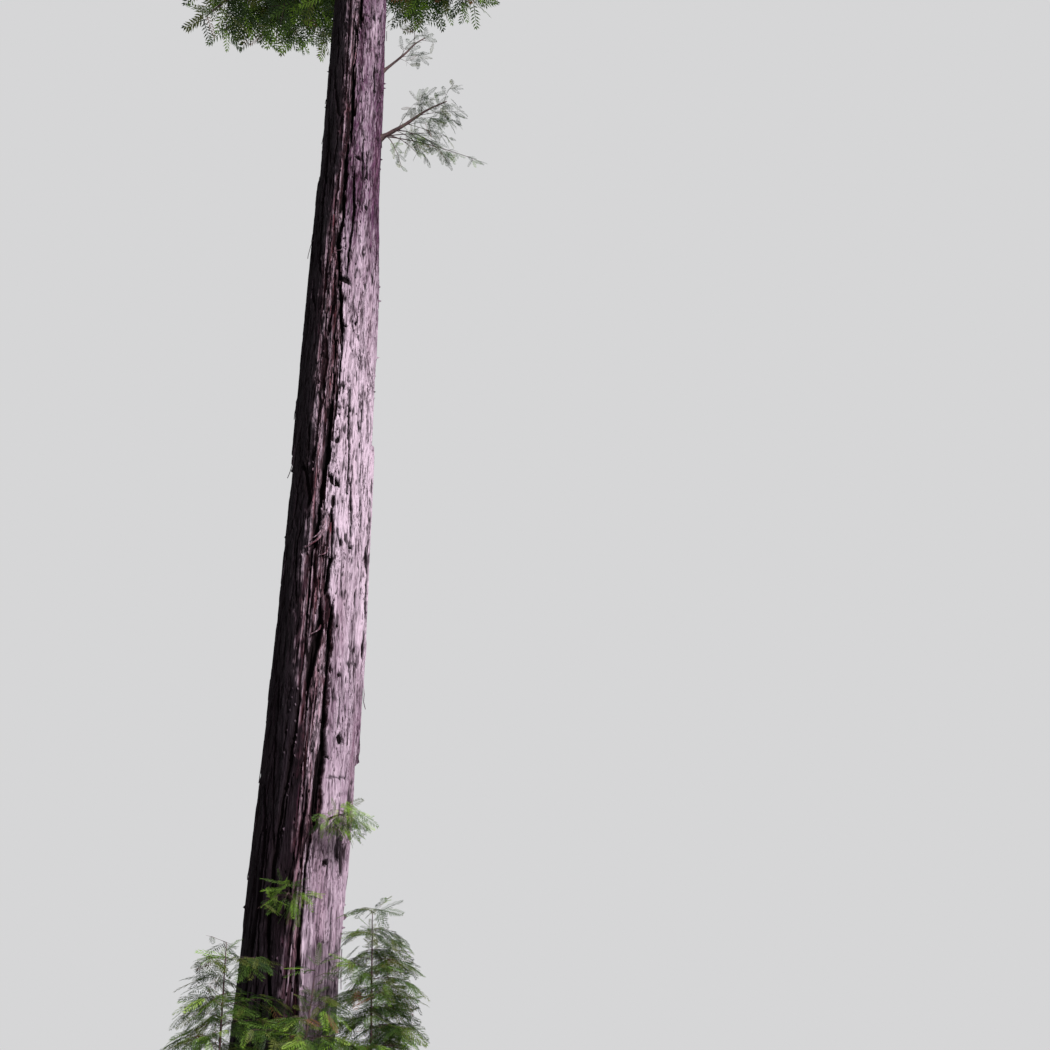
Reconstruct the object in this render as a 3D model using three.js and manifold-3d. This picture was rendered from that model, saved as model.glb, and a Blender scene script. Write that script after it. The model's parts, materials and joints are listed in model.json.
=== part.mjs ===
// Redwood tree, 39.5 m tall, in millimetres, +Z up, its origin at the flat cut under the trunk.
// One tapering trunk, boughs that wind round it in a long spiral, one mass of foliage for each
// bough, two thin side limbs, and the small shoots that grow at the foot and low on the bole.
import * as THREE from 'three';
import { mergeVertices } from 'three/addons/utils/BufferGeometryUtils.js';
import Module from 'manifold-3d';

const wasm = await Module();
wasm.setup();

// Driving dimensions
const TREE_HEIGHT = 39500;
const LEADER_TOP = 39050;
const SEAT_GAP = 0.3;

const BOLE_RADIUS = 523;
const BOLE_TAPER = 0.0038;
const BOLE_TOP = 19000;
const LEADER_POWER = 0.9;
const SWEEP = 110;
const SWEEP_LENGTH = 24000;
const FLARE_REACH = 270;
const FLARE_HEIGHT = 620;
const FLARE_RIDGES = 6;
const FLARE_RIDGE_SHARE = 0.42;
const TRUNK_SIDES = 24;
const TRUNK_RINGS = 20;
const TRUNK_RING_POWER = 1.6;

const BOUGH_COUNT = 22;
const CROWN_BASE = 22000;
const CROWN_TOP = 37350;
const CROWN_RADIUS = 3950;
const SPACING_POWER = 1.22;
const GOLDEN_ANGLE = THREE.MathUtils.degToRad(137.5);
const HEADING_STRAY = 0.28;
const STUB_REACH = 560;
const LOWEST_SHADE = 0.8;
const SHADED_SHARE = 0.22;
const REACH_POWER = 0.66;
const RISE = { lowest: 0.22, highest: 0.62, stray: 0.05 };
const DROOP = { lowest: 0.44, highest: 0.16, stray: 0.06 };
const BOUGH_SIDES = 6;
const BOUGH_STEPS = 3;
const BOUGH_END_SHARE = 0.4;
const SHOOT_STEPS = 5;

const MASS_DETAIL = 2;
const MASS_INNER_SHARE = 0.17;
const MASS_NARROWING = 0.22;
const MASS_ABOVE = 0.85;
const MASS_BELOW = 1.1;
const MASS_LOBES = 0.115;
const SMALL_MASS_LOBES = 0.12;
const TIP = { number: 71, bottom: 37650, radius: 560, narrowing: 0.5, lobes: 0.06 };

// Side limbs and foot shoots: each step is a distance out from the bark and a height above the
// limb's root, and the foliage is half its depth outwards, half its width and half its height
const SIDE_LIMBS = [
  {
    number: 41, heading: -12, height: 15780, rootRadius: 36, tipRadius: 20,
    steps: [[240, 210], [480, 450], [800, 800]], foliage: [560, 470, 830], sag: 480,
  },
  {
    number: 42, heading: -14, height: 17350, rootRadius: 25, tipRadius: 14,
    steps: [[150, 190], [320, 410], [520, 700]], foliage: [340, 330, 400], sag: 60,
  },
];
const FOOT_SHOOTS = [
  {
    number: 51, heading: -117, height: 330, rootRadius: 26, tipRadius: 13,
    steps: [[250, 620], [370, 1450], [400, 2450]], foliage: [400, 520, 1000], sag: 0,
  },
  {
    number: 52, heading: -84, height: 300, rootRadius: 24, tipRadius: 12,
    steps: [[300, 560], [500, 1250], [560, 2150]], foliage: [430, 640, 950], sag: 0,
  },
  {
    number: 53, heading: -38, height: 310, rootRadius: 27, tipRadius: 13,
    steps: [[280, 640], [430, 1600], [440, 2700]], foliage: [470, 640, 1150], sag: 0,
  },
];
const BOLE_SPRAYS = [
  { number: 61, heading: -58, height: 4950, foliage: [330, 330, 230] },
  { number: 62, heading: -97, height: 4150, foliage: [280, 290, 250] },
];
const SPRAY_SEAT_SHARE = 0.55;
const SPRAY_SLOPE = 0.25;

const BARK = { color: 0x86685f, roughness: 0.92, metalness: 0 };
const LIMB_BARK = { color: 0x6d5048, roughness: 0.9, metalness: 0 };
const NEEDLES = { color: 0x41601c, roughness: 0.75, metalness: 0 };
const YOUNG_NEEDLES = { color: 0x6f9a2b, roughness: 0.7, metalness: 0 };

// A steady number from 0 to 1 for each piece and use, so that no two pieces are alike
function chance(piece, use) {
  const wave = Math.sin(piece * 12.9898 + use * 78.233) * 43758.5453;
  return wave - Math.floor(wave);
}

function between(low, high, piece, use) {
  return low + (high - low) * chance(piece, use);
}

// Mean trunk radius: an almost even bole, then a long taper to the leader's tip
function trunkRadius(z) {
  if (z <= BOLE_TOP) {
    return BOLE_RADIUS - BOLE_TAPER * z;
  }
  const left = Math.max(0, (LEADER_TOP - z) / (LEADER_TOP - BOLE_TOP));
  return (BOLE_RADIUS - BOLE_TAPER * BOLE_TOP) * left ** LEADER_POWER;
}

function trunkAxis(z) {
  const sweep = z < SWEEP_LENGTH ? SWEEP * Math.sin((Math.PI * z) / SWEEP_LENGTH) : 0;
  return new THREE.Vector3(sweep, 0, z);
}

// The root flare swells into blunt ridges between shallow hollows
function flare(angle, z) {
  const ridge = Math.cos(FLARE_RIDGES * angle + 0.9 * Math.sin(angle));
  return FLARE_REACH * Math.exp(-z / FLARE_HEIGHT) * (1 + FLARE_RIDGE_SHARE * ridge);
}

function trunkSurface(angle, z) {
  const out = new THREE.Vector3(Math.cos(angle), Math.sin(angle), 0);
  return trunkAxis(z).addScaledVector(out, trunkRadius(z) + flare(angle, z));
}

function moveVertices(geometry, place) {
  const position = geometry.getAttribute('position');
  const vertex = new THREE.Vector3();
  for (let i = 0; i < position.count; i += 1) {
    vertex.fromBufferAttribute(position, i);
    const moved = place(vertex, i);
    position.setXYZ(i, moved.x, moved.y, moved.z);
  }
  return geometry;
}

// A swell above nought moves each face outwards, for a cutter that leaves a seat gap
function toSolid(geometry, swell = 0) {
  geometry.deleteAttribute('normal');
  geometry.deleteAttribute('uv');
  const merged = mergeVertices(geometry, 0.01);
  merged.computeVertexNormals();
  const normal = merged.getAttribute('normal');
  const outwards = new THREE.Vector3();
  moveVertices(merged, (v, i) => v.addScaledVector(outwards.fromBufferAttribute(normal, i), swell));
  const mesh = new wasm.Mesh({
    numProp: 3,
    vertProperties: new Float32Array(merged.getAttribute('position').array),
    triVerts: new Uint32Array(merged.getIndex().array),
  });
  return new wasm.Manifold(mesh);
}

// The largest body of a cut solid, without the slivers that a cut may leave
function mainBody(solid) {
  const bodies = solid.decompose();
  bodies.sort((a, b) => b.volume() - a.volume());
  return bodies[0];
}

function cut(solid, ...cutters) {
  return cutters.reduce((rest, cutter) => rest.subtract(cutter), solid);
}

function addMesh(group, name, solid, look) {
  const { vertProperties, triVerts } = solid.getMesh();
  const geometry = new THREE.BufferGeometry();
  geometry.setAttribute('position', new THREE.Float32BufferAttribute(vertProperties, 3));
  geometry.setIndex(Array.from(triVerts));
  geometry.computeVertexNormals();
  const mesh = new THREE.Mesh(geometry, new THREE.MeshStandardMaterial({ ...look, flatShading: true }));
  mesh.name = name;
  group.add(mesh);
}

// Trunk: a turned profile whose rings are then shaped by the flare and the sweep
function trunkSolid(swell = 0) {
  const profile = [new THREE.Vector2(0, 0)];
  for (let i = 0; i < TRUNK_RINGS; i += 1) {
    profile.push(new THREE.Vector2(1, LEADER_TOP * (i / TRUNK_RINGS) ** TRUNK_RING_POWER));
  }
  profile.push(new THREE.Vector2(0, LEADER_TOP));
  const geometry = new THREE.LatheGeometry(profile, TRUNK_SIDES);
  geometry.rotateX(Math.PI / 2);
  moveVertices(geometry, (v) => {
    const onAxis = Math.hypot(v.x, v.y) < 0.5;
    return onAxis ? trunkAxis(v.z) : trunkSurface(Math.atan2(v.y, v.x), v.z);
  });
  return toSolid(geometry, swell);
}

// A tapering round limb along a curve that stays in one upright plane
function limbSolid(path, heading, rootRadius, tipRadius, swell, steps = BOUGH_STEPS) {
  const side = new THREE.Vector3(-Math.sin(heading), Math.cos(heading), 0);
  const geometry = new THREE.CylinderGeometry(1, 1, 1, BOUGH_SIDES, steps);
  moveVertices(geometry, (v) => {
    const along = v.y + 0.5;
    const lift = new THREE.Vector3().crossVectors(side, path.getTangent(along));
    const radius = THREE.MathUtils.lerp(rootRadius, tipRadius, along);
    return path.getPoint(along).addScaledVector(side, v.x * radius).addScaledVector(lift, v.z * radius);
  });
  return toSolid(geometry, swell);
}

// Uneven growth of a mass in each direction: three crossing swells, seeded by the piece
function unevenness(direction, piece, depth) {
  const wave = (use, a, b, c) =>
    Math.sin(a * direction.x + b * direction.y + c * direction.z + 2 * Math.PI * chance(piece, use));
  const broad = wave(21, 3.1, 2.2, 1.4);
  const middling = 0.7 * wave(22, -2.4, 5.3, 2.8);
  const fine = 0.5 * wave(23, 5.9, -4.1, 6.2);
  return 1 + depth * (broad + middling + fine);
}

function massSolid(place, piece, depth, swell = 0) {
  const geometry = new THREE.IcosahedronGeometry(1, MASS_DETAIL);
  moveVertices(geometry, (v) => place(v.clone().multiplyScalar(unevenness(v, piece, depth))));
  return toSolid(geometry, swell);
}

// One bough of the spiral and the foliage that it carries
class Bough {
  constructor(number) {
    const share = (number - 1) / (BOUGH_COUNT - 1);
    const climb = 1 - (1 - share) ** SPACING_POWER;
    this.number = number;
    this.heading = GOLDEN_ANGLE * number + between(-HEADING_STRAY, HEADING_STRAY, number, 1);
    this.height = CROWN_BASE + (CROWN_TOP - CROWN_BASE) * climb;
    const shade = THREE.MathUtils.lerp(LOWEST_SHADE, 1, Math.min(1, climb / SHADED_SHARE));
    const outline = CROWN_RADIUS * shade * (1 - climb) ** REACH_POWER;
    this.reach = STUB_REACH + outline * between(0.92, 1.1, number, 2);
    this.rise = THREE.MathUtils.lerp(RISE.lowest, RISE.highest, climb)
      + between(-RISE.stray, RISE.stray, number, 3);
    this.droop = THREE.MathUtils.lerp(DROOP.lowest, DROOP.highest, climb)
      + between(-DROOP.stray, DROOP.stray, number, 4);
    this.rootRadius = 18 + 0.0165 * this.reach;
    this.tipRadius = 0.62 * this.rootRadius;
    this.halfWidth = 120 + this.reach * between(0.47, 0.57, number, 5);
    this.halfDepth = 470 + this.reach * between(0.2, 0.25, number, 6);
    this.out = new THREE.Vector3(Math.cos(this.heading), Math.sin(this.heading), 0);
    this.side = new THREE.Vector3(-this.out.y, this.out.x, 0);
  }

  // A point of the bough's own line, from 0 on the trunk's axis to 1 at the furthest tip
  point(share) {
    const out = share * this.reach;
    const lift = out * (this.rise - this.droop * share);
    return trunkAxis(this.height).addScaledVector(this.out, out).add(new THREE.Vector3(0, 0, lift));
  }

  limb(swell = 0) {
    const end = BOUGH_END_SHARE;
    const path = new THREE.CatmullRomCurve3([0, 1, 2, 3].map((step) => this.point((step / 3) * end)));
    return limbSolid(path, this.heading, this.rootRadius, this.tipRadius, swell);
  }

  foliage(swell = 0) {
    const middle = (1 + MASS_INNER_SHARE) / 2;
    const half = (1 - MASS_INNER_SHARE) / 2;
    const place = (v) => {
      const narrowing = 1 - MASS_NARROWING * v.x;
      const thickness = v.z > 0 ? MASS_ABOVE : MASS_BELOW;
      return this.point(middle + half * v.x)
        .addScaledVector(this.side, v.y * this.halfWidth * narrowing)
        .add(new THREE.Vector3(0, 0, v.z * this.halfDepth * thickness * narrowing));
    };
    return massSolid(place, this.number, MASS_LOBES, swell);
  }
}

// The pointed mass round the leader
function tipMass() {
  const middle = (TREE_HEIGHT + TIP.bottom) / 2;
  const half = (TREE_HEIGHT - TIP.bottom) / 2;
  const place = (v) => {
    const spread = TIP.radius * (1 - TIP.narrowing * v.z);
    return new THREE.Vector3(v.x * spread, v.y * spread, middle + half * Math.min(1, v.z));
  };
  return massSolid(place, TIP.number, TIP.lobes);
}

// An uneven mass of given half sizes: outwards, across and upwards
function smallMass({ number, centre, out, foliage, slope = 0 }, swell) {
  const [away, across, up] = foliage;
  const side = new THREE.Vector3(-out.y, out.x, 0);
  const place = (v) => centre.clone()
    .addScaledVector(out, v.x * away)
    .addScaledVector(side, v.y * across)
    .add(new THREE.Vector3(0, 0, up * (v.z - slope * v.x)));
  return massSolid(place, number, SMALL_MASS_LOBES, swell);
}

// A slender limb from the trunk's face to a small mass of foliage
class Shoot {
  constructor(size) {
    Object.assign(this, size);
    this.angle = THREE.MathUtils.degToRad(size.heading);
    this.out = new THREE.Vector3(Math.cos(this.angle), Math.sin(this.angle), 0);
    const root = trunkSurface(this.angle, size.height);
    const point = ([away, up]) =>
      root.clone().addScaledVector(this.out, away).add(new THREE.Vector3(0, 0, up));
    this.points = [[-size.rootRadius, 0], ...size.steps].map(point);
    this.centre = this.points.at(-1).clone().add(new THREE.Vector3(0, 0, -size.sag));
  }

  limb(swell = 0) {
    const path = new THREE.CatmullRomCurve3(this.points);
    return limbSolid(path, this.angle, this.rootRadius, this.tipRadius, swell, SHOOT_STEPS);
  }

  mass(swell = 0) {
    return smallMass(this, swell);
  }
}

// A tuft of sprays that sprouts straight from the bark, low on the bole
class BoleSpray {
  constructor(size) {
    Object.assign(this, size);
    const angle = THREE.MathUtils.degToRad(size.heading);
    this.out = new THREE.Vector3(Math.cos(angle), Math.sin(angle), 0);
    this.slope = SPRAY_SLOPE;
    this.centre = trunkSurface(angle, size.height)
      .addScaledVector(this.out, SPRAY_SEAT_SHARE * size.foliage[0]);
  }

  mass(swell = 0) {
    return smallMass(this, swell);
  }
}

// Assembly: each mass is cut round the trunk, the boughs and the masses made before it,
// and each limb ends on the trunk's face and where it enters its mass
const tree = new THREE.Group();
tree.name = 'redwood_tree';

const trunkCutter = trunkSolid(SEAT_GAP);
addMesh(tree, 'trunk', trunkSolid(), BARK);

const twoDigits = (number) => String(number).padStart(2, '0');
const boughs = Array.from({ length: BOUGH_COUNT }, (_, index) => new Bough(index + 1));
for (const bough of boughs) {
  const limb = mainBody(cut(bough.limb(), trunkCutter, bough.foliage(SEAT_GAP)));
  addMesh(tree, `bough_${twoDigits(bough.number)}`, limb, LIMB_BARK);
}

const limbCutters = boughs.map((bough) => cut(bough.limb(SEAT_GAP), bough.foliage(-SEAT_GAP)));
const massCutters = [];
boughs.forEach((bough, index) => {
  const otherLimbs = limbCutters.filter((_, other) => other !== index);
  const mass = mainBody(cut(bough.foliage(), trunkCutter, ...otherLimbs, ...massCutters));
  massCutters.push(bough.foliage(SEAT_GAP));
  addMesh(tree, `foliage_${twoDigits(bough.number)}`, mass, NEEDLES);
});
const tip = mainBody(cut(tipMass(), trunkCutter, ...limbCutters, ...massCutters));
addMesh(tree, 'foliage_tip', tip, NEEDLES);

function addShoots(shoots, limbName, massName, look, cutters) {
  shoots.forEach((shoot, index) => {
    const limb = mainBody(cut(shoot.limb(), trunkCutter, shoot.mass(SEAT_GAP), ...cutters));
    const mass = mainBody(cut(shoot.mass(), trunkCutter, ...cutters));
    cutters.push(shoot.mass(SEAT_GAP), shoot.limb(SEAT_GAP));
    addMesh(tree, `${limbName}_${index + 1}`, limb, LIMB_BARK);
    addMesh(tree, `${massName}_${index + 1}`, mass, look);
  });
}

const sideLimbs = SIDE_LIMBS.map((size) => new Shoot(size));
addShoots(sideLimbs, 'side_limb', 'side_limb_foliage', NEEDLES, []);

const footCutters = [];
const footShoots = FOOT_SHOOTS.map((size) => new Shoot(size));
addShoots(footShoots, 'foot_shoot', 'foot_shoot_foliage', YOUNG_NEEDLES, footCutters);

BOLE_SPRAYS.forEach((size, index) => {
  const spray = new BoleSpray(size);
  const mass = mainBody(cut(spray.mass(), trunkCutter, ...footCutters));
  footCutters.push(spray.mass(SEAT_GAP));
  addMesh(tree, `bole_spray_${index + 1}`, mass, YOUNG_NEEDLES);
});

export default tree;
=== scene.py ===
# Looks of the redwood tree: furrowed bark, boughs, twigs and sprays of needles, studio and camera.
import json
import logging
import math
from dataclasses import dataclass, field, replace
from enum import Enum

import bmesh
import bpy
import numpy as np
from mathutils import Matrix, Vector
from mathutils.bvhtree import BVHTree

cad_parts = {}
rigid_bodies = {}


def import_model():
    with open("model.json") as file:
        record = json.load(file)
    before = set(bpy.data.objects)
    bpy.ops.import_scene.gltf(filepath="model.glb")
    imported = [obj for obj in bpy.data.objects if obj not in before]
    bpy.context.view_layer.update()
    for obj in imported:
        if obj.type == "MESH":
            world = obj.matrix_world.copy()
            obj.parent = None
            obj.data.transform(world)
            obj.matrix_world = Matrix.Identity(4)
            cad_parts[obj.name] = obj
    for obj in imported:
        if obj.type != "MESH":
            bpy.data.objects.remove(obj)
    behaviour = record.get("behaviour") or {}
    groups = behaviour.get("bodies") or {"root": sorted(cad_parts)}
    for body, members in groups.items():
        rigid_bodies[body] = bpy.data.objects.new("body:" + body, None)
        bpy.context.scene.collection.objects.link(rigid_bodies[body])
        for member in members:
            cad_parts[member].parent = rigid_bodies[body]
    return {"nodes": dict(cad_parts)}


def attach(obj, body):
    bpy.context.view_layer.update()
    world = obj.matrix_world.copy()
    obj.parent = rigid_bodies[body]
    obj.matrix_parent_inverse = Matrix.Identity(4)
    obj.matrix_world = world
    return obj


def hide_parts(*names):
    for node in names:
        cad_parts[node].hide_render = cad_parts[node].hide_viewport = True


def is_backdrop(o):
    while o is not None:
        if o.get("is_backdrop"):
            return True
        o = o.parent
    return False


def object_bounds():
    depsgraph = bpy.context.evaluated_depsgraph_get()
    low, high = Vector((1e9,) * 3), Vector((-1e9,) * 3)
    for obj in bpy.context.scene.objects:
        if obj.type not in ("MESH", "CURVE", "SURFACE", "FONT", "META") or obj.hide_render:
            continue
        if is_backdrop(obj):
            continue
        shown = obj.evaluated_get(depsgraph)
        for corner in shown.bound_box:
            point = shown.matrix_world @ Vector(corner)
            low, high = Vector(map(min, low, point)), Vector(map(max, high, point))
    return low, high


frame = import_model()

LOG = logging.getLogger("redwood")
SEED = 4453
MOST_TRIANGLES = 190_000
TIP_MARGIN = 0.08
GOLDEN_ANGLE = math.radians(137.5)
TWIG_SAG = 0.2
BODY = "root"
UP = np.array([0.0, 0.0, 1.0])


class Slot(Enum):
    """The record's material slots."""

    TRUNK = "trunk_bark"
    LIMB = "limb_bark"
    NEEDLES = "needles"
    YOUNG = "young_needles"


class Tint(Enum):
    """The plain colours that are dealt out to the sprays."""

    DEEP = "deep"
    MID = "mid"
    OLIVE = "olive"
    BRIGHT = "bright"
    PALE = "pale"
    BROWN = "brown"


class Family(Enum):
    """The two sizes of spray: coarse ones high in the crown, fine ones near the ground."""

    CROWN = "crown"
    LOW = "low"


def linear(*display: int) -> tuple[float, float, float, float]:
    """Turns a display colour, three channels from 0 to 255, into a linear one with full opacity."""
    shares = [channel / 255 for channel in display]
    return (*(s / 12.92 if s <= 0.04045 else ((s + 0.055) / 1.055) ** 2.4 for s in shares), 1.0)


def unit(vectors: np.ndarray) -> np.ndarray:
    """Scales one vector, or rows of them, to length one."""
    return vectors / np.maximum(np.linalg.norm(vectors, axis=-1, keepdims=True), 1e-9)


def ramp(value: np.ndarray, low: float, high: float) -> np.ndarray:
    """Rises smoothly from nought at low to one at high."""
    share = np.clip((value - low) / (high - low), 0.0, 1.0)
    return share * share * (3.0 - 2.0 * share)


def walk(line: np.ndarray) -> np.ndarray:
    """How far along a line each of its points lies."""
    return np.cumsum(np.linalg.norm(np.diff(line, axis=0, prepend=line[:1]), axis=1))


def tilted(degrees: float) -> np.ndarray:
    """The level direction that stands at an angle to +X."""
    return np.array([math.cos(math.radians(degrees)), math.sin(math.radians(degrees)), 0.0])


def nodes_of(start: str) -> list[str]:
    """The solids whose names start like this, in order."""
    return sorted(name for name in frame["nodes"] if name.startswith(start))


def corners_of(node: str) -> np.ndarray:
    """The corners of a solid from the frame, one row each."""
    return np.array([v.co for v in frame["nodes"][node].data.vertices])


def deselect_all() -> None:
    """Leaves nothing selected, so that the next operator acts on the new piece only."""
    for thing in bpy.context.view_layer.objects:
        thing.select_set(False)


def hand_over(piece: bpy.types.Object, nodes: list[str]) -> None:
    """Makes a finished piece ride on the tree and stand for its solids.

    Args:
        piece: The finished piece.
        nodes: The solids that it stands for.
    """
    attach(piece, BODY)
    if nodes:
        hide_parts(*nodes)
    LOG.info("%s: %d faces", piece.name, len(piece.data.polygons))


def mesh_piece(name: str, vertices: list[np.ndarray], faces: list[np.ndarray],
               material: bpy.types.Material) -> bpy.types.Object:
    """Makes one joined mesh from arrays.

    Args:
        name: The piece's name.
        vertices: Corner places of each part, one row each.
        faces: Corner numbers of each part's faces, counted through all the parts.
        material: The piece's finish.

    Returns:
        The new object, at the origin.
    """
    mesh = bpy.data.meshes.new(name)
    mesh.from_pydata(np.concatenate(vertices), [], np.concatenate(faces))
    mesh.update()
    mesh.materials.append(material)
    piece = bpy.data.objects.new(name, mesh)
    bpy.context.scene.collection.objects.link(piece)
    return piece


def tube_skin(rings: int, sides: int, turned: bool = False) -> np.ndarray:
    """Joins rings of corners, which follow one another, into a tube's side.

    Args:
        rings: How many rings there are.
        sides: How many corners a ring has.
        turned: Whether the corners go round the other way.

    Returns:
        Three-cornered faces.
    """
    start = np.arange(rings - 1)[:, None] * sides
    here, beside = start + np.arange(sides), start + (np.arange(sides) + 1) % sides
    quads = np.stack([here, beside, beside + sides, here + sides], axis=-1).reshape(-1, 4)
    if turned:
        quads = quads[:, [0, 3, 2, 1]]
    return np.concatenate([quads[:, [0, 1, 2]], quads[:, [0, 2, 3]]])


class Noise:
    """Seeded smooth noise, worked on whole arrays at once."""

    def __init__(self, seed: int) -> None:
        """Draws the lattice.

        Args:
            seed: The number that settles every draw.
        """
        draw = np.random.default_rng(seed)
        self.order = np.tile(draw.permutation(256), 3)
        self.slopes = unit(draw.normal(size=(256, 3)))

    def pick(self, cell: np.ndarray) -> np.ndarray:
        """Gives each lattice point, a row of three, a steady number from 0 to 255."""
        a, b, c = np.moveaxis(cell.astype(int) & 255, -1, 0)
        return self.order[self.order[self.order[a] + b] + c]

    def smooth(self, x: np.ndarray, y: np.ndarray, z: np.ndarray) -> np.ndarray:
        """Smooth noise with features about one unit across.

        Args:
            x: First coordinate.
            y: Second coordinate.
            z: Third coordinate.

        Returns:
            Noise from about -1 to 1.
        """
        place = np.stack(np.broadcast_arrays(x, y, z), axis=-1)
        cell = np.floor(place)
        inside = place - cell
        ease = inside**3 * (inside * (inside * 6 - 15) + 10)
        total = np.zeros(inside.shape[:-1])
        for corner in np.ndindex(2, 2, 2):
            step = np.array(corner)
            weight = np.prod(np.where(step == 1, ease, 1 - ease), axis=-1)
            total += weight * np.sum(self.slopes[self.pick(cell + step)] * (inside - step), axis=-1)
        return total * 1.7

    def line(self, along: np.ndarray, salt: float) -> np.ndarray:
        """Smooth noise along one line only, with a salt that says which line it is."""
        levels, back = np.unique(np.round(along, 4), return_inverse=True)
        return self.smooth(levels, salt, 0.5)[back].reshape(np.shape(along))


NOISE = Noise(SEED)


@dataclass(frozen=True)
class TrunkForm:
    """The trunk's own line and girth, the same as its solid's, in metres."""

    top: float = 39.05
    bole_top: float = 19.0
    bole_radius: float = 0.523
    bole_taper: float = 0.0038
    leader_power: float = 0.9
    sweep: float = 0.11
    sweep_length: float = 24.0
    flare_reach: float = 0.27
    flare_height: float = 0.62
    flare_ridges: int = 6
    flare_ridge_share: float = 0.42

    def radius(self, z: np.ndarray) -> np.ndarray:
        """The mean radius at each height, without the flare."""
        left = np.clip((self.top - z) / (self.top - self.bole_top), 0.0, 1.0)
        return (self.bole_radius - self.bole_taper * np.minimum(z, self.bole_top)) * left**self.leader_power

    def flare(self, angle: np.ndarray, z: np.ndarray) -> np.ndarray:
        """How far the root flare stands out, for directions in radians and heights."""
        ridge = np.cos(self.flare_ridges * angle + 0.9 * np.sin(angle))
        return self.flare_reach * np.exp(-z / self.flare_height) * (1 + self.flare_ridge_share * ridge)

    def axis_x(self, z: np.ndarray) -> np.ndarray:
        """The X of the trunk's middle at each height."""
        sweep = self.sweep * np.sin(np.pi * np.asarray(z) / self.sweep_length)
        return np.where(np.asarray(z) < self.sweep_length, sweep, 0.0)

    def away(self, corners: np.ndarray) -> np.ndarray:
        """How far corners lie from the trunk's middle line."""
        return np.hypot(corners[:, 0] - self.axis_x(corners[:, 2]), corners[:, 1])


FORM = TrunkForm()


@dataclass(frozen=True)
class Spots:
    """Places on the trunk's bark: directions in radians, heights and the radius there in metres."""

    angle: np.ndarray
    z: np.ndarray
    radius: np.ndarray

    def turned(self, turn: np.ndarray) -> "Spots":
        """The same heights, further round the trunk."""
        return replace(self, angle=self.angle + turn)

    def across(self, heading: np.ndarray) -> np.ndarray:
        """The distance round the bark from a heading in radians, above nought on its right."""
        return (np.mod(self.angle - heading + np.pi, 2 * np.pi) - np.pi) * self.radius


@dataclass(frozen=True)
class Wave:
    """Smooth noise on the bark: how quickly it changes round and up the trunk, and its shift."""

    turns: float
    rise: float
    east: float = 0.0
    north: float = 0.0

    def at(self, spots: Spots) -> np.ndarray:
        """The noise at each spot, from about -1 to 1."""
        x, y = np.cos(spots.angle) * self.turns + self.east, np.sin(spots.angle) * self.turns + self.north
        return NOISE.smooth(x, y, spots.z * self.rise)


@dataclass(frozen=True)
class RibLayer:
    """One size of rib in the bark, and the furrows between such ribs."""

    waves: float
    length: float
    half_width: float
    depth: float
    salt: float


@dataclass(frozen=True)
class Course:
    """A line up the bark that a cleft, a raised slat or a border follows.

    Each point is a height in metres, a heading in degrees and a half width in metres.
    """

    points: tuple[tuple[float, float, float], ...]
    relief: float = 0.05
    salt: float = 0.0
    fade: float = 0.1

    def away(self, spots: Spots) -> tuple[np.ndarray, np.ndarray]:
        """Measures from the line.

        Args:
            spots: Where to measure.

        Returns:
            The distance from the line, above nought on its right, and the half width there.
        """
        z, line = spots.z, NOISE.line
        heights, headings, widths = (np.array(column) for column in zip(*self.points))
        wobble = 0.012 * line(z * 1.3, self.salt) + 0.007 * line(z * 5.0, self.salt + 5.0)
        away = spots.across(np.radians(np.interp(z, heights, headings))) - wobble
        width = np.interp(z, heights, widths) * (1.0 + 0.35 * line(z * 3.0, self.salt + 9.0))
        begun, ended = (ramp(z, end - self.fade, end + self.fade) for end in (heights[0], heights[-1]))
        return away, np.maximum(width * (begun * (1.0 - ended)), 1e-4)

    def share(self, spots: Spots) -> np.ndarray:
        """One along the line's middle, nought past its edges."""
        away, width = self.away(spots)
        return 1.0 - ramp(np.abs(away), 0.5 * width, 1.3 * width)


@dataclass(frozen=True)
class Gouge:
    """A short notch, knot hole, long thin dark line or patch of painted shade on the bark, heading in degrees and
    sizes in metres.
    """

    heading: float
    height: float
    half_width: float
    half_height: float
    lean: float = 0.0
    depth: float = 0.04
    dark: float = 1.0

    def share(self, spots: Spots, ragged: np.ndarray) -> np.ndarray:
        """Tells how near to the notch's middle each spot lies.

        Args:
            spots: Where to measure.
            ragged: Unevenness of the notch's outline.

        Returns:
            One in the middle, nought outside.
        """
        along = spots.across(math.radians(self.heading))
        rise = spots.z - self.height + self.lean * along
        away = np.hypot(along / self.half_width, rise / self.half_height) + 0.45 * ragged
        return 1.0 - ramp(away, 0.6, 1.1)


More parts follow.
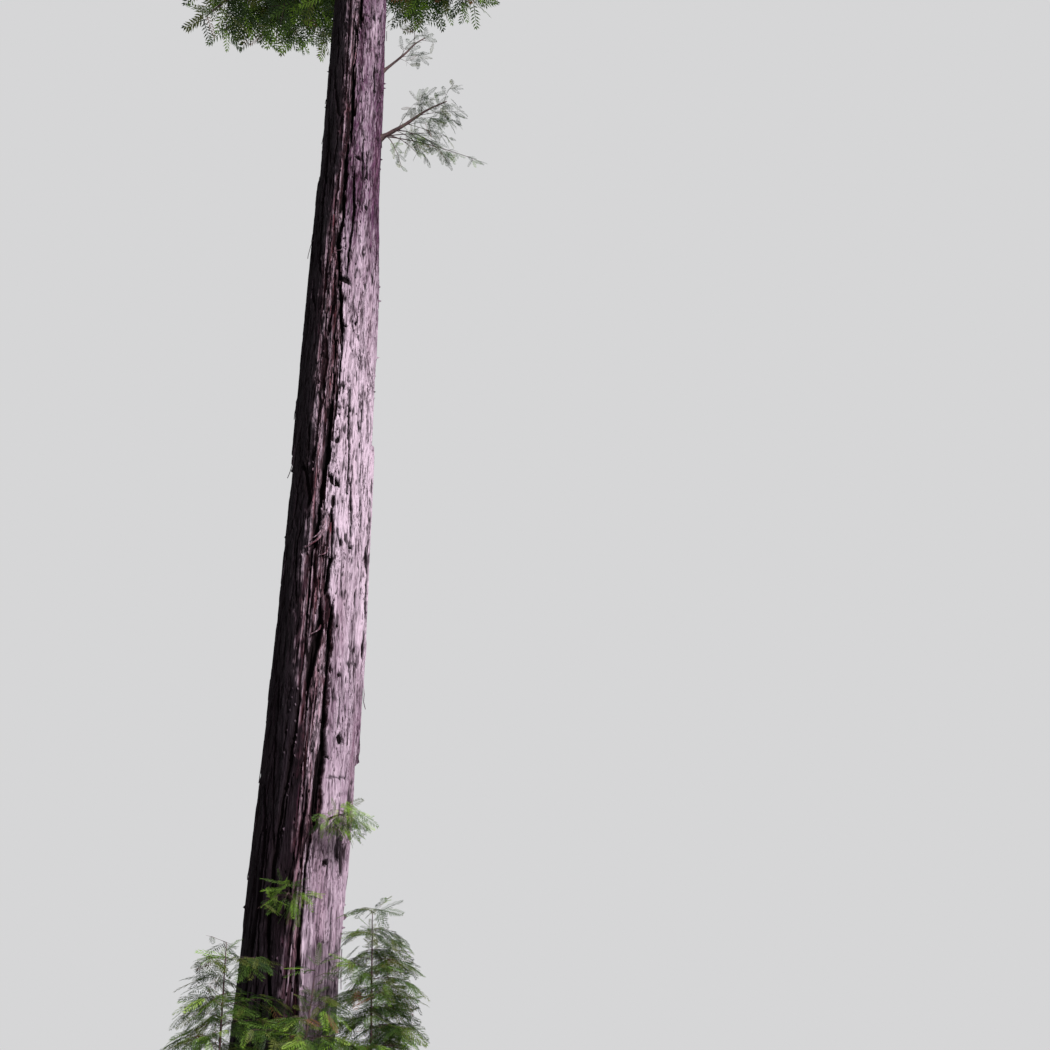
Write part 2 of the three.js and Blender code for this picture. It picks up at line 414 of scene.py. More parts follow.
CLEFTS = (
    Course(((17.85, -90, 0.016), (18.5, -92, 0.02), (19.5, -93, 0.016)), 0.06, 3.1),
    Course(((15.2, -96, 0.014), (15.6, -96, 0.016), (16.1, -97, 0.03), (16.6, -98, 0.03)), 0.06, 8.3),
    Course(((16.5, -99, 0.016), (17.1, -99, 0.022), (17.9, -100, 0.018)), 0.06, 7.7),
    Course(((10.5, -87, 0.008), (11.0, -87, 0.012), (11.5, -88, 0.014), (11.7, -90, 0.024)), 0.05, 13.7),
    Course(((11.65, -93, 0.022), (12.0, -94, 0.024), (12.35, -98, 0.014)), 0.055, 15.1),
    Course(((12.3, -101, 0.012), (12.75, -102, 0.016), (13.2, -107, 0.05), (13.6, -102, 0.016)), 0.055, 16.3),
    Course(((13.55, -101, 0.012), (14.1, -103, 0.026), (14.5, -103, 0.034), (15.15, -100, 0.026)),
           0.06, 12.9),
    Course(((12.5, -87, 0.012), (13.1, -86, 0.014), (13.7, -82, 0.02), (14.1, -85, 0.018), (14.6, -88, 0.01)),
           0.05, 17.9),
    Course(((8.2, -106, 0.02), (8.6, -104, 0.03), (9.0, -102, 0.03), (9.4, -99, 0.038), (9.65, -98, 0.034),
            (9.9, -98, 0.022)), 0.06, 22.1),
    Course(((9.85, -96, 0.014), (10.15, -97, 0.026), (10.4, -95, 0.018)), 0.05, 20.9),
    Course(((10.45, -96, 0.012), (10.9, -97, 0.01), (11.4, -99, 0.01)), 0.04, 21.3),
    Course(((7.6, -86, 0.02), (7.9, -83, 0.015), (8.3, -82, 0.019), (8.7, -85, 0.016)), 0.06, 27.3),
    Course(((4.9, -76, 0.014), (5.1, -77, 0.036), (5.3, -77, 0.045), (5.6, -76, 0.038), (5.85, -73, 0.022),
            (6.5, -74, 0.02), (6.9, -74, 0.022), (7.1, -77, 0.022), (7.5, -73, 0.011)), 0.065, 31.9),
    Course(((3.9, -83, 0.008), (4.4, -82, 0.009), (4.7, -79, 0.008)), 0.03, 34.1),
    Course(((6.45, -99, 0.03), (6.8, -96, 0.05), (7.2, -90, 0.044), (7.45, -91, 0.026)), 0.06, 36.7),
    Course(((8.25, -56, 0.012), (8.7, -57, 0.015), (9.05, -60, 0.012), (9.3, -66, 0.009), (9.7, -67, 0.013),
            (10.25, -71, 0.012)), 0.04, 41.1),
    Course(((8.2, -28, 0.007), (8.5, -33, 0.009), (8.8, -38, 0.009), (9.3, -45, 0.009), (10.0, -48, 0.01),
            (10.7, -46, 0.008)), 0.025, 45.3),
    Course(((6.75, -30, 0.012), (6.95, -35, 0.012), (7.2, -37, 0.01)), 0.035, 49.7),
    Course(((6.8, -25, 0.014), (7.05, -27, 0.01)), 0.035, 53.9),
    Course(((7.5, -38, 0.015), (7.75, -37, 0.013)), 0.035, 58.1),
    Course(((16.4, -56, 0.022), (17.05, -58, 0.018)), 0.04, 62.3),
    Course(((14.5, -71, 0.016), (15.0, -73, 0.016)), 0.04, 66.7),
    Course(((14.5, -64, 0.014), (14.85, -65, 0.012)), 0.035, 71.1),
    Course(((6.9, -16, 0.03), (7.6, -16, 0.026), (8.2, -17, 0.022), (9.0, -18, 0.012)), 0.035, 75.3),
    Course(((0.5, -40, 0.016), (2.6, -44, 0.014), (4.2, -46, 0.009)), 0.04, 79.9),
)

SLATS = (
    Course(((16.8, -106, 0.024), (17.2, -106, 0.036), (17.7, -106, 0.048), (18.1, -103, 0.054),
            (18.6, -102, 0.06), (19.6, -100, 0.06)), 0.03, 5.3),
    Course(((15.0, -112, 0.014), (15.7, -110, 0.018), (16.6, -108, 0.012)), 0.024, 9.1),
    Course(((14.0, -112, 0.016), (14.9, -108, 0.016)), 0.022, 11.9),
    Course(((12.65, -119, 0.018), (13.4, -118, 0.026)), 0.028, 15.5),
    Course(((11.9, -117, 0.022), (12.2, -115, 0.034), (12.45, -113, 0.03), (12.75, -111, 0.024)),
           0.034, 19.3),
    Course(((11.35, -107, 0.03), (11.75, -103, 0.034), (12.05, -100, 0.036), (12.3, -101, 0.03),
            (12.6, -105, 0.014)), 0.036, 24.7),
    Course(((8.2, -112, 0.028), (8.8, -113, 0.028), (9.1, -109, 0.042), (9.45, -111, 0.044),
            (9.75, -112, 0.03), (10.1, -109, 0.032), (10.4, -104, 0.05), (10.7, -106, 0.036),
            (11.1, -105, 0.036), (11.5, -106, 0.042)), 0.036, 28.9),
    Course(((5.9, -96, 0.02), (6.5, -92, 0.024), (7.1, -97, 0.02), (7.6, -99, 0.03)), 0.024, 33.3),
    Course(((7.25, -87, 0.026), (7.8, -95, 0.036), (8.15, -98, 0.036), (8.4, -96, 0.042), (8.62, -92, 0.034)),
           0.034, 38.1),
    Course(((4.2, -95, 0.016), (4.4, -93, 0.022), (4.6, -90, 0.024), (4.8, -87, 0.022), (5.1, -85, 0.02),
            (5.35, -86, 0.034), (5.7, -87, 0.06), (6.0, -87, 0.07), (6.3, -85, 0.075), (6.55, -87, 0.066),
            (6.8, -85, 0.05), (7.1, -83, 0.042)), 0.03, 43.3),
    Course(((3.4, -88, 0.03), (4.3, -87, 0.03), (4.55, -84, 0.03), (4.75, -81, 0.028), (4.95, -82, 0.016)),
           0.03, 47.7),
)

GOUGES = (
    Gouge(-76.0, 18.2, 0.085, 0.022),
    Gouge(-81.0, 14.85, 0.06, 0.045, 0.5),
    Gouge(-62.0, 13.9, 0.03, 0.05),
    Gouge(-88.0, 12.42, 0.065, 0.06, 0.4),
    Gouge(-68.0, 11.7, 0.022, 0.04),
    Gouge(-84.0, 11.62, 0.05, 0.03, 0.5),
    Gouge(-67.0, 10.26, 0.032, 0.035),
    Gouge(-85.0, 9.75, 0.03, 0.05),
    Gouge(-85.0, 9.14, 0.065, 0.07, 0.7),
    Gouge(-84.0, 8.85, 0.03, 0.14),
    Gouge(-54.0, 8.26, 0.03, 0.026),
    Gouge(-66.0, 7.2, 0.02, 0.024),
    Gouge(-58.0, 6.6, 0.032, 0.035),
    Gouge(-52.0, 5.86, 0.055, 0.06),
    Gouge(-66.0, 5.62, 0.045, 0.02, 0.4),
    Gouge(-60.0, 4.5, 0.03, 0.05),
    # two long thin shallow dark lines across the plate
    Gouge(-46.0, 5.43, 0.21, 0.014, -0.17, 0.012, 0.6),
    Gouge(-40.0, 5.26, 0.13, 0.03, -0.5, 0.012, 0.35),
    # painted shade: two dark patches on the low right flank, where it turns from the light
    Gouge(-16.0, 5.15, 0.13, 0.3, 0.4, 0.03, 0.75),
    Gouge(-35.0, 4.63, 0.11, 0.2, 0.3, 0.03, 0.75),
)

# The marks that the bark's corners carry: the furrow and dark-side marks are painted shade, and pale carries
# painted light and highlights besides the bark's own paleness
BARK_MARKS = ("furrow_shade", "pale", "ruddy", "painted_shade", "sandy", "stringy")


def mark(piece: bpy.types.Object, bark: dict[str, np.ndarray]) -> None:
    """Writes the bark's marks, each by its name, on the corners of a piece."""
    for name in BARK_MARKS:
        piece.data.attributes.new(name, "FLOAT", "POINT").data.foreach_set("value", bark[name])


@dataclass(frozen=True)
class BarkRelief:
    """The bark's relief: ribs in three sizes, torn layers, clefts, raised slats, flecks and fibres."""

    ribs: RibLayer = RibLayer(6.5, 4.2, 0.024, 0.045, 11.3)
    plates: RibLayer = RibLayer(19.0, 1.25, 0.012, 0.024, 23.7)
    scales: RibLayer = RibLayer(44.0, 0.42, 0.007, 0.010, 37.1)
    border: Course = Course((
        (0.0, -68, 0), (3.5, -80, 0), (4.3, -85, 0), (4.75, -79, 0), (5.05, -72, 0), (5.9, -71, 0),
        (7.3, -72, 0), (7.6, -83, 0), (8.1, -80, 0), (8.6, -84, 0), (8.8, -96, 0), (9.4, -94, 0),
        (9.9, -94, 0), (10.4, -90, 0), (11.3, -93, 0), (11.6, -89, 0), (12.3, -95, 0), (12.8, -98, 0),
        (13.2, -102, 0), (13.7, -97, 0), (14.6, -99, 0), (15.2, -96, 0), (15.6, -93, 0), (16.7, -94, 0),
        (17.4, -95, 0), (17.85, -95, 0), (18.0, -88, 0), (19.0, -91, 0), (24.0, -88, 0)), 0.018, 2.7)
    shade: Course = Course((
        (0.0, -88, 0), (4.5, -92, 0), (5.3, -93, 0), (5.9, -99, 0), (6.5, -108, 0), (7.5, -114, 0),
        (8.4, -117, 0), (9.6, -119, 0), (11.5, -122, 0), (12.5, -128, 0), (13.3, -124, 0), (14.5, -113, 0),
        (15.9, -111, 0), (17.3, -113, 0), (19.0, -111, 0), (24.0, -112, 0)), 0.0, 6.1)
    clefts: tuple[Course, ...] = CLEFTS
    slats: tuple[Course, ...] = SLATS
    gouges: tuple[Gouge, ...] = GOUGES
    swells: tuple[Course, ...] = (
        Course(((6.1, -6, 0.08), (6.8, -5, 0.16), (8.6, -5, 0.16), (9.6, -8, 0.08)), 0.05, 4.9, 0.5),
        Course(((12.8, 2, 0.12), (14.5, 2, 0.26), (19.0, 2, 0.26), (24.0, 2, 0.1)), -0.055, 2.9, 1.0),
        Course(((10.2, 178, 0.1), (12.0, 178, 0.22), (14.5, 178, 0.1)), 0.03, 1.9, 0.8),
        Course(((0.6, -5, 0.12), (2.5, -4, 0.24), (4.8, -4, 0.12)), -0.04, 0.9, 0.8))
    # painted light and shade on the plate by height: brightest near 10 m, darkest near 16 m
    painted_light_by_height: tuple[tuple[float, float], ...] = (
        (0.0, 0.18), (4.2, 0.22), (5.2, 0.24), (6.2, 0.18), (7.5, 0.46), (9.0, 0.72), (10.2, 0.82),
        (11.3, 0.56), (12.2, 0.32), (13.0, 0.2), (13.8, -0.1), (16.0, -0.24), (18.0, -0.08), (19.5, 0.0),
        (24.0, 0.0))
    # painted highlight on the raised slats and ridges by height, partly their own paler fibre
    ridge_highlight_by_height: tuple[tuple[float, float], ...] = ((4.5, 0.3), (8.5, 1.3), (12.5, 1.3), (14.0, 0.75))
    tear: Wave = Wave(5.5, 5.0, 0.0, 2.2)
    fray: Wave = Wave(10.0, 13.0, 0.0, 6.2)
    patch: Wave = Wave(1.7, 0.45, 7.3)
    strand: Wave = Wave(11.0, 0.75, 0.0, 4.4)
    thread: Wave = Wave(23.0, 1.3, 1.7)
    split: Wave = Wave(27.0, 1.1, 5.7)
    cluster: Wave = Wave(3.1, 1.1, 4.7)
    fleck: Wave = Wave(15.0, 5.5, 3.3)
    fibre: Wave = Wave(30.0, 2.4)
    blush: Wave = Wave(2.3, 0.6, 0.0, 3.1)
    slow_layer: Wave = Wave(3.4, 0.75, 5.1)
    quick_layer: Wave = Wave(9.5, 2.6, 0.0, 8.3)
    # Where the painted shade on the trunk's dark side begins, becomes full and fades out, in degrees
    painted_shade_start: tuple[float, float] = (-218.0, -190.0)
    painted_shade_turns: tuple[float, float] = (200.0, 210.0)
    layer_step: float = 0.0075
    fleck_depth: float = 0.009
    fibre_height: float = 0.003
    ragged: float = 0.012
    sunk: float = 0.024
    probe: float = 0.01

    def furrows(self, layer: RibLayer, spots: Spots) -> np.ndarray:
        """Finds the furrows of one size: the lines where slow noise changes its sign.

        Args:
            layer: The ribs' sizes.
            spots: Where on the bark.

        Returns:
            The share of such a groove at each spot.
        """
        ring = layer.waves / (2 * np.pi)
        level = spots.z / layer.length + layer.salt
        angles = (spots.angle, spots.angle + self.probe / spots.radius)
        here, beside = (NOISE.smooth(np.cos(angle) * ring + layer.salt, np.sin(angle) * ring, level)
                        for angle in angles)
        slope = np.abs(beside - here) / self.probe
        usual = 1.1 * ring / spots.radius
        gap = np.abs(here) / np.maximum(slope, 0.35 * usual)
        width = layer.half_width * np.minimum(1.0, spots.radius / 0.4)
        return (1.0 - ramp(gap, 0.25 * width, 1.5 * width)) * ramp(slope, 0.12 * usual, 0.7 * usual)

    def painted_shade(self, angle: np.ndarray, shade_away: np.ndarray) -> np.ndarray:
        """Tells where painted shade darkens the bark on the tree's dark side.

        Args:
            angle: Directions round the trunk, in radians.
            shade_away: Distances from the dark side's right border.

        Returns:
            The share of painted shade at each spot.
        """
        start, full = (math.radians(heading) for heading in self.painted_shade_start)
        turn = np.mod(angle - start, 2 * np.pi)
        front = 1.0 - ramp(turn, *(math.radians(end) for end in self.painted_shade_turns))
        return ramp(turn, 0.0, full - start) * front * (1.0 - ramp(shade_away, -0.07, 0.03))

    def layers(self, spots: Spots) -> np.ndarray:
        """How many torn upper layers stand at each spot, from about -2 to 2, with steep edges."""
        height = 2.2 * self.slow_layer.at(spots) + 0.7 * self.quick_layer.at(spots)
        return np.floor(height) + ramp(height - np.floor(height), 0.38, 0.62)

    def placed(self, spots: Spots, tear: np.ndarray) -> tuple[np.ndarray, ...]:
        """Works out the clefts, notches and slats that have their own places.

        Args:
            spots: Where on the bark.
            tear: Unevenness of every outline.

        Returns:
            How deep the clefts cut, their share, how far the slats stand out, and their share.
        """
        cuts = [(course.share(spots), course.relief, 1.0) for course in self.clefts]
        cuts += [(gouge.share(spots, tear), gouge.depth, gouge.dark) for gouge in self.gouges]
        lifts = [(course.share(spots), course.relief, 1.0) for course in self.slats]
        return tuple(np.max([share * row[k] for share, *row in rows], axis=0)
                     for rows in (cuts, lifts) for k in (0, 1))

    def work_out(self, spots: Spots) -> dict[str, np.ndarray]:
        """Works out the whole relief and where its colours fall.

        Args:
            spots: Where on the bark.

        Returns:
            The offset in metres, and the share of each of the bark's marks by name.
        """
        z, radius = spots.z, spots.radius
        tear = self.tear.at(spots) + 0.6 * self.fray.at(spots)
        patch, strand, thread = (wave.at(spots) for wave in (self.patch, self.strand, self.thread))
        torn = spots.turned((self.ragged * tear + 0.4 * self.ragged * thread) / radius)
        split = ramp(self.split.at(spots), -0.3, 0.15)
        ridge = ramp(thread + 0.35 * strand + 0.25 * tear, -0.08, 0.3)
        plate_away = self.border.away(torn)[0] + 0.016 * thread + 0.01 * tear
        shade_away = self.shade.away(torn)[0] + 0.05 * patch + 0.045 * tear + 0.03 * thread
        right = ramp(plate_away, -0.004, 0.012) * (1.0 - ramp(plate_away, 0.85, 1.1))
        left = (1.0 - ramp(plate_away, -0.004, 0.012)) * ramp(shade_away, -0.1, 0.03)
        cut, gone, lift, raised = self.placed(torn, tear)
        raised = raised * (0.3 + 0.7 * split)
        lift = lift * (0.6 + 0.4 * split)
        big, middle, small = (self.furrows(layer, torn) for layer in (self.ribs, self.plates, self.scales))
        big = big * (1.0 - 0.85 * right) * (1.0 - 0.7 * left)
        middle = middle * (1.0 - 0.6 * left) * (1.0 - right * (0.9 - 0.4 * ramp(z, 5.0, 7.0)))
        sandy = right * (1.0 - ramp(z, 5.2, 6.8))
        fleck = ramp(self.fleck.at(spots) + 0.35 * self.cluster.at(spots), 0.4, 0.6) * (1.0 - 0.6 * sandy)
        height = self.layers(spots.turned(0.7 * self.ragged * tear / radius))
        hollow = left * (1.0 - raised) * (1.0 - 0.85 * ridge)
        offset = 0.004 + self.layer_step * height + self.fibre_height * self.fibre.at(spots)
        offset = offset - self.fleck_depth * fleck
        for layer, share in ((self.ribs, big), (self.plates, middle), (self.scales, small)):
            offset = offset - layer.depth * share
        offset = offset - cut + self.border.relief * right - self.sunk * hollow + lift * (1.0 - gone)
        for swell in self.swells:
            offset = offset + swell.relief * swell.share(spots)
        # even and furrow paint shade into the rib furrows, pits, sunken hollows, clefts and notches
        even = (1.0 - 0.95 * big) * (1.0 - 0.85 * middle) * (1.0 - 0.5 * small) * (1.0 - 0.75 * fleck)
        furrow_shade = 1.0 - even * (1.0 - 0.7 * hollow) * (1.0 - gone)
        # painted light and shade on the plate by height, with painted shade on its right part above 10.5 m
        painted_plate_light = np.interp(z, *zip(*self.painted_light_by_height)) - 0.3 * ramp(plate_away, 0.28, 0.6) * ramp(z, 10.5, 12.5)
        # paler raised slats and ridges: partly their own paler fibre, partly painted highlight
        strands = (1.2 * raised + 1.05 * left * ridge) * np.interp(z, *zip(*self.ridge_highlight_by_height))
        # pale: the bark's own paleness, with painted light and highlights added
        pale = 0.24 + 0.2 * patch + right * (painted_plate_light + 0.08) + 0.09 * height + strands
        ruddy = 0.08 + 0.3 * ramp(self.blush.at(spots), 0.1, 0.7) - 0.1 * height
        ruddy = ruddy + left * (0.9 - 0.55 * ridge - 0.3 * raised)
        ruddy = ruddy * (1.0 - 0.6 * right) + 0.5 * (left + right) * (1.0 - ramp(z, 0.9, 1.7))
        return {
            "offset": offset * np.minimum(1.0, radius / 0.5),
            "furrow_shade": np.clip(furrow_shade, 0.0, 1.0),
            "pale": np.clip(pale, 0.0, 1.0),
            "ruddy": np.clip(ruddy, 0.0, 1.0),
            # painted shade on the trunk's dark side, weaker on the raised slats
            "painted_shade": self.painted_shade(spots.angle, shade_away) * (1.0 - 0.8 * raised),
            "sandy": sandy,
            "stringy": left * ramp(shade_away, -0.02, 0.05),
        }


RELIEF = BarkRelief()


class Board:
    """A material's node tree, with short ways to add and join nodes."""

    def __init__(self, name: str, roughness: float, gloss: float = 0.5) -> None:
        """Starts an empty tree with its output and surface shader.

        Args:
            name: The material's name.
            roughness: How dull the surface is, from 0 to 1.
            gloss: How strongly it mirrors, 0.5 for a plain surface.
        """
        self.material = bpy.data.materials.new(name)
        self.material.use_nodes = True
        self.tree = self.material.node_tree
        self.tree.nodes.clear()
        output = self.add("ShaderNodeOutputMaterial")
        self.surface = self.add("ShaderNodeBsdfPrincipled", Roughness=roughness, Specular_IOR_Level=gloss)
        self.join(self.surface.outputs["BSDF"], output.inputs["Surface"])

    def add(self, kind: str, settings: dict | None = None, **values: object) -> bpy.types.Node:
        """Adds a node.

        Args:
            kind: Blender's name for the node.
            settings: Properties of the node itself.
            **values: Socket values by name, with _ for a space.

        Returns:
            The new node.
        """
        node = self.tree.nodes.new(kind)
        for key, value in (settings or {}).items():
            setattr(node, key, value)
        for key, value in values.items():
            node.inputs[key.replace("_", " ")].default_value = value
        return node

    def join(self, source: bpy.types.NodeSocket, target: bpy.types.NodeSocket) -> None:
        """Joins two sockets."""
        self.tree.links.new(source, target)

    def feed(self, target: bpy.types.NodeSocket, source: object) -> None:
        """Joins a socket to its source, or sets it where the source is a plain number or colour."""
        if isinstance(source, bpy.types.NodeSocket):
            self.join(source, target)
        else:
            target.default_value = source

    def noise(self, across: float, up: float, detail: float, roughness: float) -> bpy.types.NodeSocket:
        """Noise on object coordinates, stretched.

        Args:
            across: Features per metre along X and Y.
            up: Features per metre along Z.
            detail: How many finer layers there are.
            roughness: How strong the finer layers are.

        Returns:
            The noise's socket, from 0 to 1.
        """
        coordinates = self.add("ShaderNodeTexCoord")
        stretch = self.add("ShaderNodeMapping", Scale=(across, across, up))
        texture = self.add("ShaderNodeTexNoise", Scale=1.0, Detail=detail, Roughness=roughness)
        self.join(coordinates.outputs["Object"], stretch.inputs["Vector"])
        self.join(stretch.outputs["Vector"], texture.inputs["Vector"])
        return texture.outputs["Fac"]

    def share(self, source: bpy.types.NodeSocket, low: float, high: float,
              out_low: float = 0.0, out_high: float = 1.0) -> bpy.types.NodeSocket:
        """Maps a socket's range to another.

        Args:
            source: The socket to map.
            low: Source value that gives out_low.
            high: Source value that gives out_high.
            out_low: Result at low.
            out_high: Result at high.

        Returns:
            The mapped socket.
        """
        node = self.add("ShaderNodeMapRange")
        for target, value in zip(node.inputs, (source, low, high, out_low, out_high)):
            self.feed(target, value)
        return node.outputs[0]

    def part(self, source: bpy.types.NodeSocket, full: float, empty: float = 0.0) -> bpy.types.NodeSocket:
        """Maps a share from 0 to 1 to the range from empty to full."""
        return self.share(source, 0.0, 1.0, empty, full)

    def blend(self, share: bpy.types.NodeSocket, under: object, over: object) -> bpy.types.NodeSocket:
        """Mixes two colours, each a socket or a plain colour.

        Args:
            share: How much of the second shows.
            under: The first colour.
            over: The second colour.

        Returns:
            The mixed colour's socket.
        """
        node = self.add("ShaderNodeMix", {"data_type": "RGBA"})
        self.join(share, node.inputs["Factor"])
        for name, colour in (("A", under), ("B", over)):
            self.feed(next(s for s in node.inputs if s.name == name and s.type == "RGBA"), colour)
        return next(s for s in node.outputs if s.type == "RGBA")

    def maths(self, kind: str, *numbers: object) -> bpy.types.NodeSocket:
        """Works out one number from others, each a socket or a plain number.

        Args:
            kind: Blender's name for the operation.
            *numbers: One number or more, taken in turn.

        Returns:
            The result's socket, kept from 0 to 1 in a sum.
        """
        first, *others = numbers
        for second in others or (0.0,):
            node = self.add("ShaderNodeMath", {"operation": kind, "use_clamp": kind == "ADD"})
            self.feed(node.inputs[0], first)
            self.feed(node.inputs[1], second)
            first = node.outputs[0]
        return first

    def lines(self, noise: bpy.types.NodeSocket, thin: float, wide: float) -> bpy.types.NodeSocket:
        """Fine lines where noise crosses its middle, full up to thin from it and gone at wide."""
        gap = self.maths("ABSOLUTE", self.maths("SUBTRACT", noise, 0.5))
        return self.share(gap, thin, wide, 1.0, 0.0)

    def attribute(self, name: str) -> bpy.types.NodeSocket:
        """A number that the mesh itself carries."""
        return self.add("ShaderNodeAttribute", {"attribute_name": name}).outputs["Fac"]

    def dress(self, colour: object) -> bpy.types.Material:
        """Gives the surface its colour, a socket or a plain one, and hands the material over."""
        self.feed(self.surface.inputs["Base Color"], colour)
        return self.material

    def bump(self, height: bpy.types.NodeSocket, strength: float, distance: float) -> None:
        """Gives the surface fine relief.

        Args:
            height: The relief's height, from 0 to 1.
            strength: How much of it shows.
            distance: The height in metres that 1 stands for.
        """
        node = self.add("ShaderNodeBump", Strength=strength, Distance=distance)
        self.join(height, node.inputs["Height"])
        self.join(node.outputs["Normal"], self.surface.inputs["Normal"])


@dataclass(frozen=True)
class TrunkBark:
    """Weathered mauve-grey bark with fibres, ruddy where it is sheltered; painted shade makes it dark in its
    furrows and on its dark side, and painted light and highlights vary its paleness.
    """

    dull: tuple = linear(92, 58, 86)
    # the pale plate colour: weathered bark, partly reached through painted light and highlights
    weathered_and_painted_light: tuple = linear(214, 191, 208)
    ruddy: tuple = linear(112, 44, 54)
    # painted shade: the near-black colour of the furrows, clefts, hollows and fine threads
    furrow_shade: tuple = linear(20, 10, 14)
    fleck: tuple = linear(44, 22, 35)
    # painted shade: the near-black colour laid on the trunk's dark side
    painted_shade: tuple = linear(15, 9, 13)

    def material(self) -> bpy.types.Material:
        """Builds the bark.

        Returns:
            The finished material.
        """
        board = Board("trunk_bark_finish", 0.85, 0.1)
        carried = {name: board.attribute(name) for name in BARK_MARKS}
        sandy = carried["sandy"]
        fibres = board.noise(60.0, 6.0, 4.0, 0.65)
        strands = board.noise(33.0, 2.8, 3.0, 0.6)
        cluster = board.share(board.noise(4.5, 1.4, 2.0, 0.5), 0.35, 0.65, -0.08, 0.06)
        flecks = board.maths("ADD", board.noise(42.0, 8.0, 4.0, 0.62), cluster, board.part(sandy, -0.04))
        specks = board.maths("ADD", board.noise(66.0, 20.0, 3.0, 0.6), cluster, board.part(sandy, 0.05))
        weak = board.share(carried["pale"], 0.15, 0.55, 0.7, 0.0)
        broken = board.maths("ADD", board.share(board.noise(10.0, 3.2, 2.0, 0.5), 0.46, 0.6), weak)
        creases = board.maths("MULTIPLY", board.lines(board.noise(16.0, 1.0, 3.0, 0.6), 0.014, 0.055), broken)
        threads = board.lines(board.noise(46.0, 3.4, 2.0, 0.55), 0.02, 0.07)
        threads = board.maths("MULTIPLY", threads, carried["stringy"])
        calm = board.part(sandy, 0.45, 1.0)
        streaks = board.maths("MULTIPLY", board.share(strands, 0.3, 0.7, -0.25, 0.25), calm)
        pale = board.maths("ADD", carried["pale"], streaks, board.share(fibres, 0.3, 0.7, -0.3, 0.3))
        warm = board.maths("MULTIPLY", carried["ruddy"], board.share(strands, 0.3, 0.65, 0.45, 1.0))
        face = self.dull
        for share, colour in (
                # paleness, partly painted light and highlights
                (pale, self.weathered_and_painted_light),
                (warm, self.ruddy),
                (board.part(creases, 0.85), self.fleck),
                (board.share(flecks, 0.6, 0.65, 0.0, 0.88), self.fleck),
                (board.share(specks, 0.61, 0.67, 0.0, 0.7), self.fleck),
                # painted shade along the fine threads between the fibres
                (board.part(threads, 0.72), self.furrow_shade),
                # painted shade on the trunk's dark side
                (board.part(carried["painted_shade"], 0.95), self.painted_shade),
                # painted shade in the furrows, pits, hollows and clefts
                (board.share(carried["furrow_shade"], 0.08, 0.85), self.furrow_shade)):
            face = board.blend(share, face, colour)
        grain = board.share(fibres, 0.25, 0.75, 0.0, 0.35), board.share(strands, 0.3, 0.7, 0.0, 0.35)
        relief = board.maths("ADD", *grain, board.share(flecks, 0.5, 0.7, 0.3, 0.0))
        relief = board.maths("SUBTRACT", relief, board.part(creases, 0.4), board.part(threads, 0.3))
        board.bump(relief, 1.0, 0.022)
        return board.dress(face)


@dataclass(frozen=True)
class LimbBark:
    """Thin flaking bark of a bough, limb or stem."""

    dark: tuple = linear(44, 29, 31)
    light: tuple = linear(106, 80, 80)

    def material(self) -> bpy.types.Material:
        """Builds the bark.

        Returns:
            The finished material.
        """
        board = Board("limb_bark_finish", 0.85)
        grain = board.noise(60.0, 22.0, 4.0, 0.6)
        patches = board.share(board.noise(9.0, 5.0, 2.0, 0.5), 0.35, 0.7, 0.0, 0.4)
        mixed = board.maths("ADD", board.share(grain, 0.3, 0.7, 0.0, 0.7), patches)
        board.bump(grain, 0.7, 0.006)
        return board.dress(board.blend(mixed, self.dark, self.light))


@dataclass(frozen=True)
class NeedleFinish:
    """One plain colour of needle, with a soft waxy gloss."""

    colour: tuple
    roughness: float = 0.55
    gloss: float = 0.3

    def material(self, name: str) -> bpy.types.Material:
        """Builds the finish under this name."""
        return Board(name, self.roughness, self.gloss).dress(self.colour)


NEEDLE_FINISHES = {
    Tint.DEEP: NeedleFinish(linear(44, 66, 28)),
    Tint.MID: NeedleFinish(linear(76, 104, 38)),
    Tint.OLIVE: NeedleFinish(linear(98, 106, 48)),
    Tint.BRIGHT: NeedleFinish(linear(122, 158, 52)),
    Tint.PALE: NeedleFinish(linear(158, 186, 84)),
    Tint.BROWN: NeedleFinish(linear(126, 86, 60), 0.75),
}


@dataclass(frozen=True)
class BarkLength:
    """One length of the trunk: from where to where, how fine its mesh is, and how far its foot tucks in."""

    name: str
    bottom: float
    top: float
    columns: int
    tuck: float = 0.0


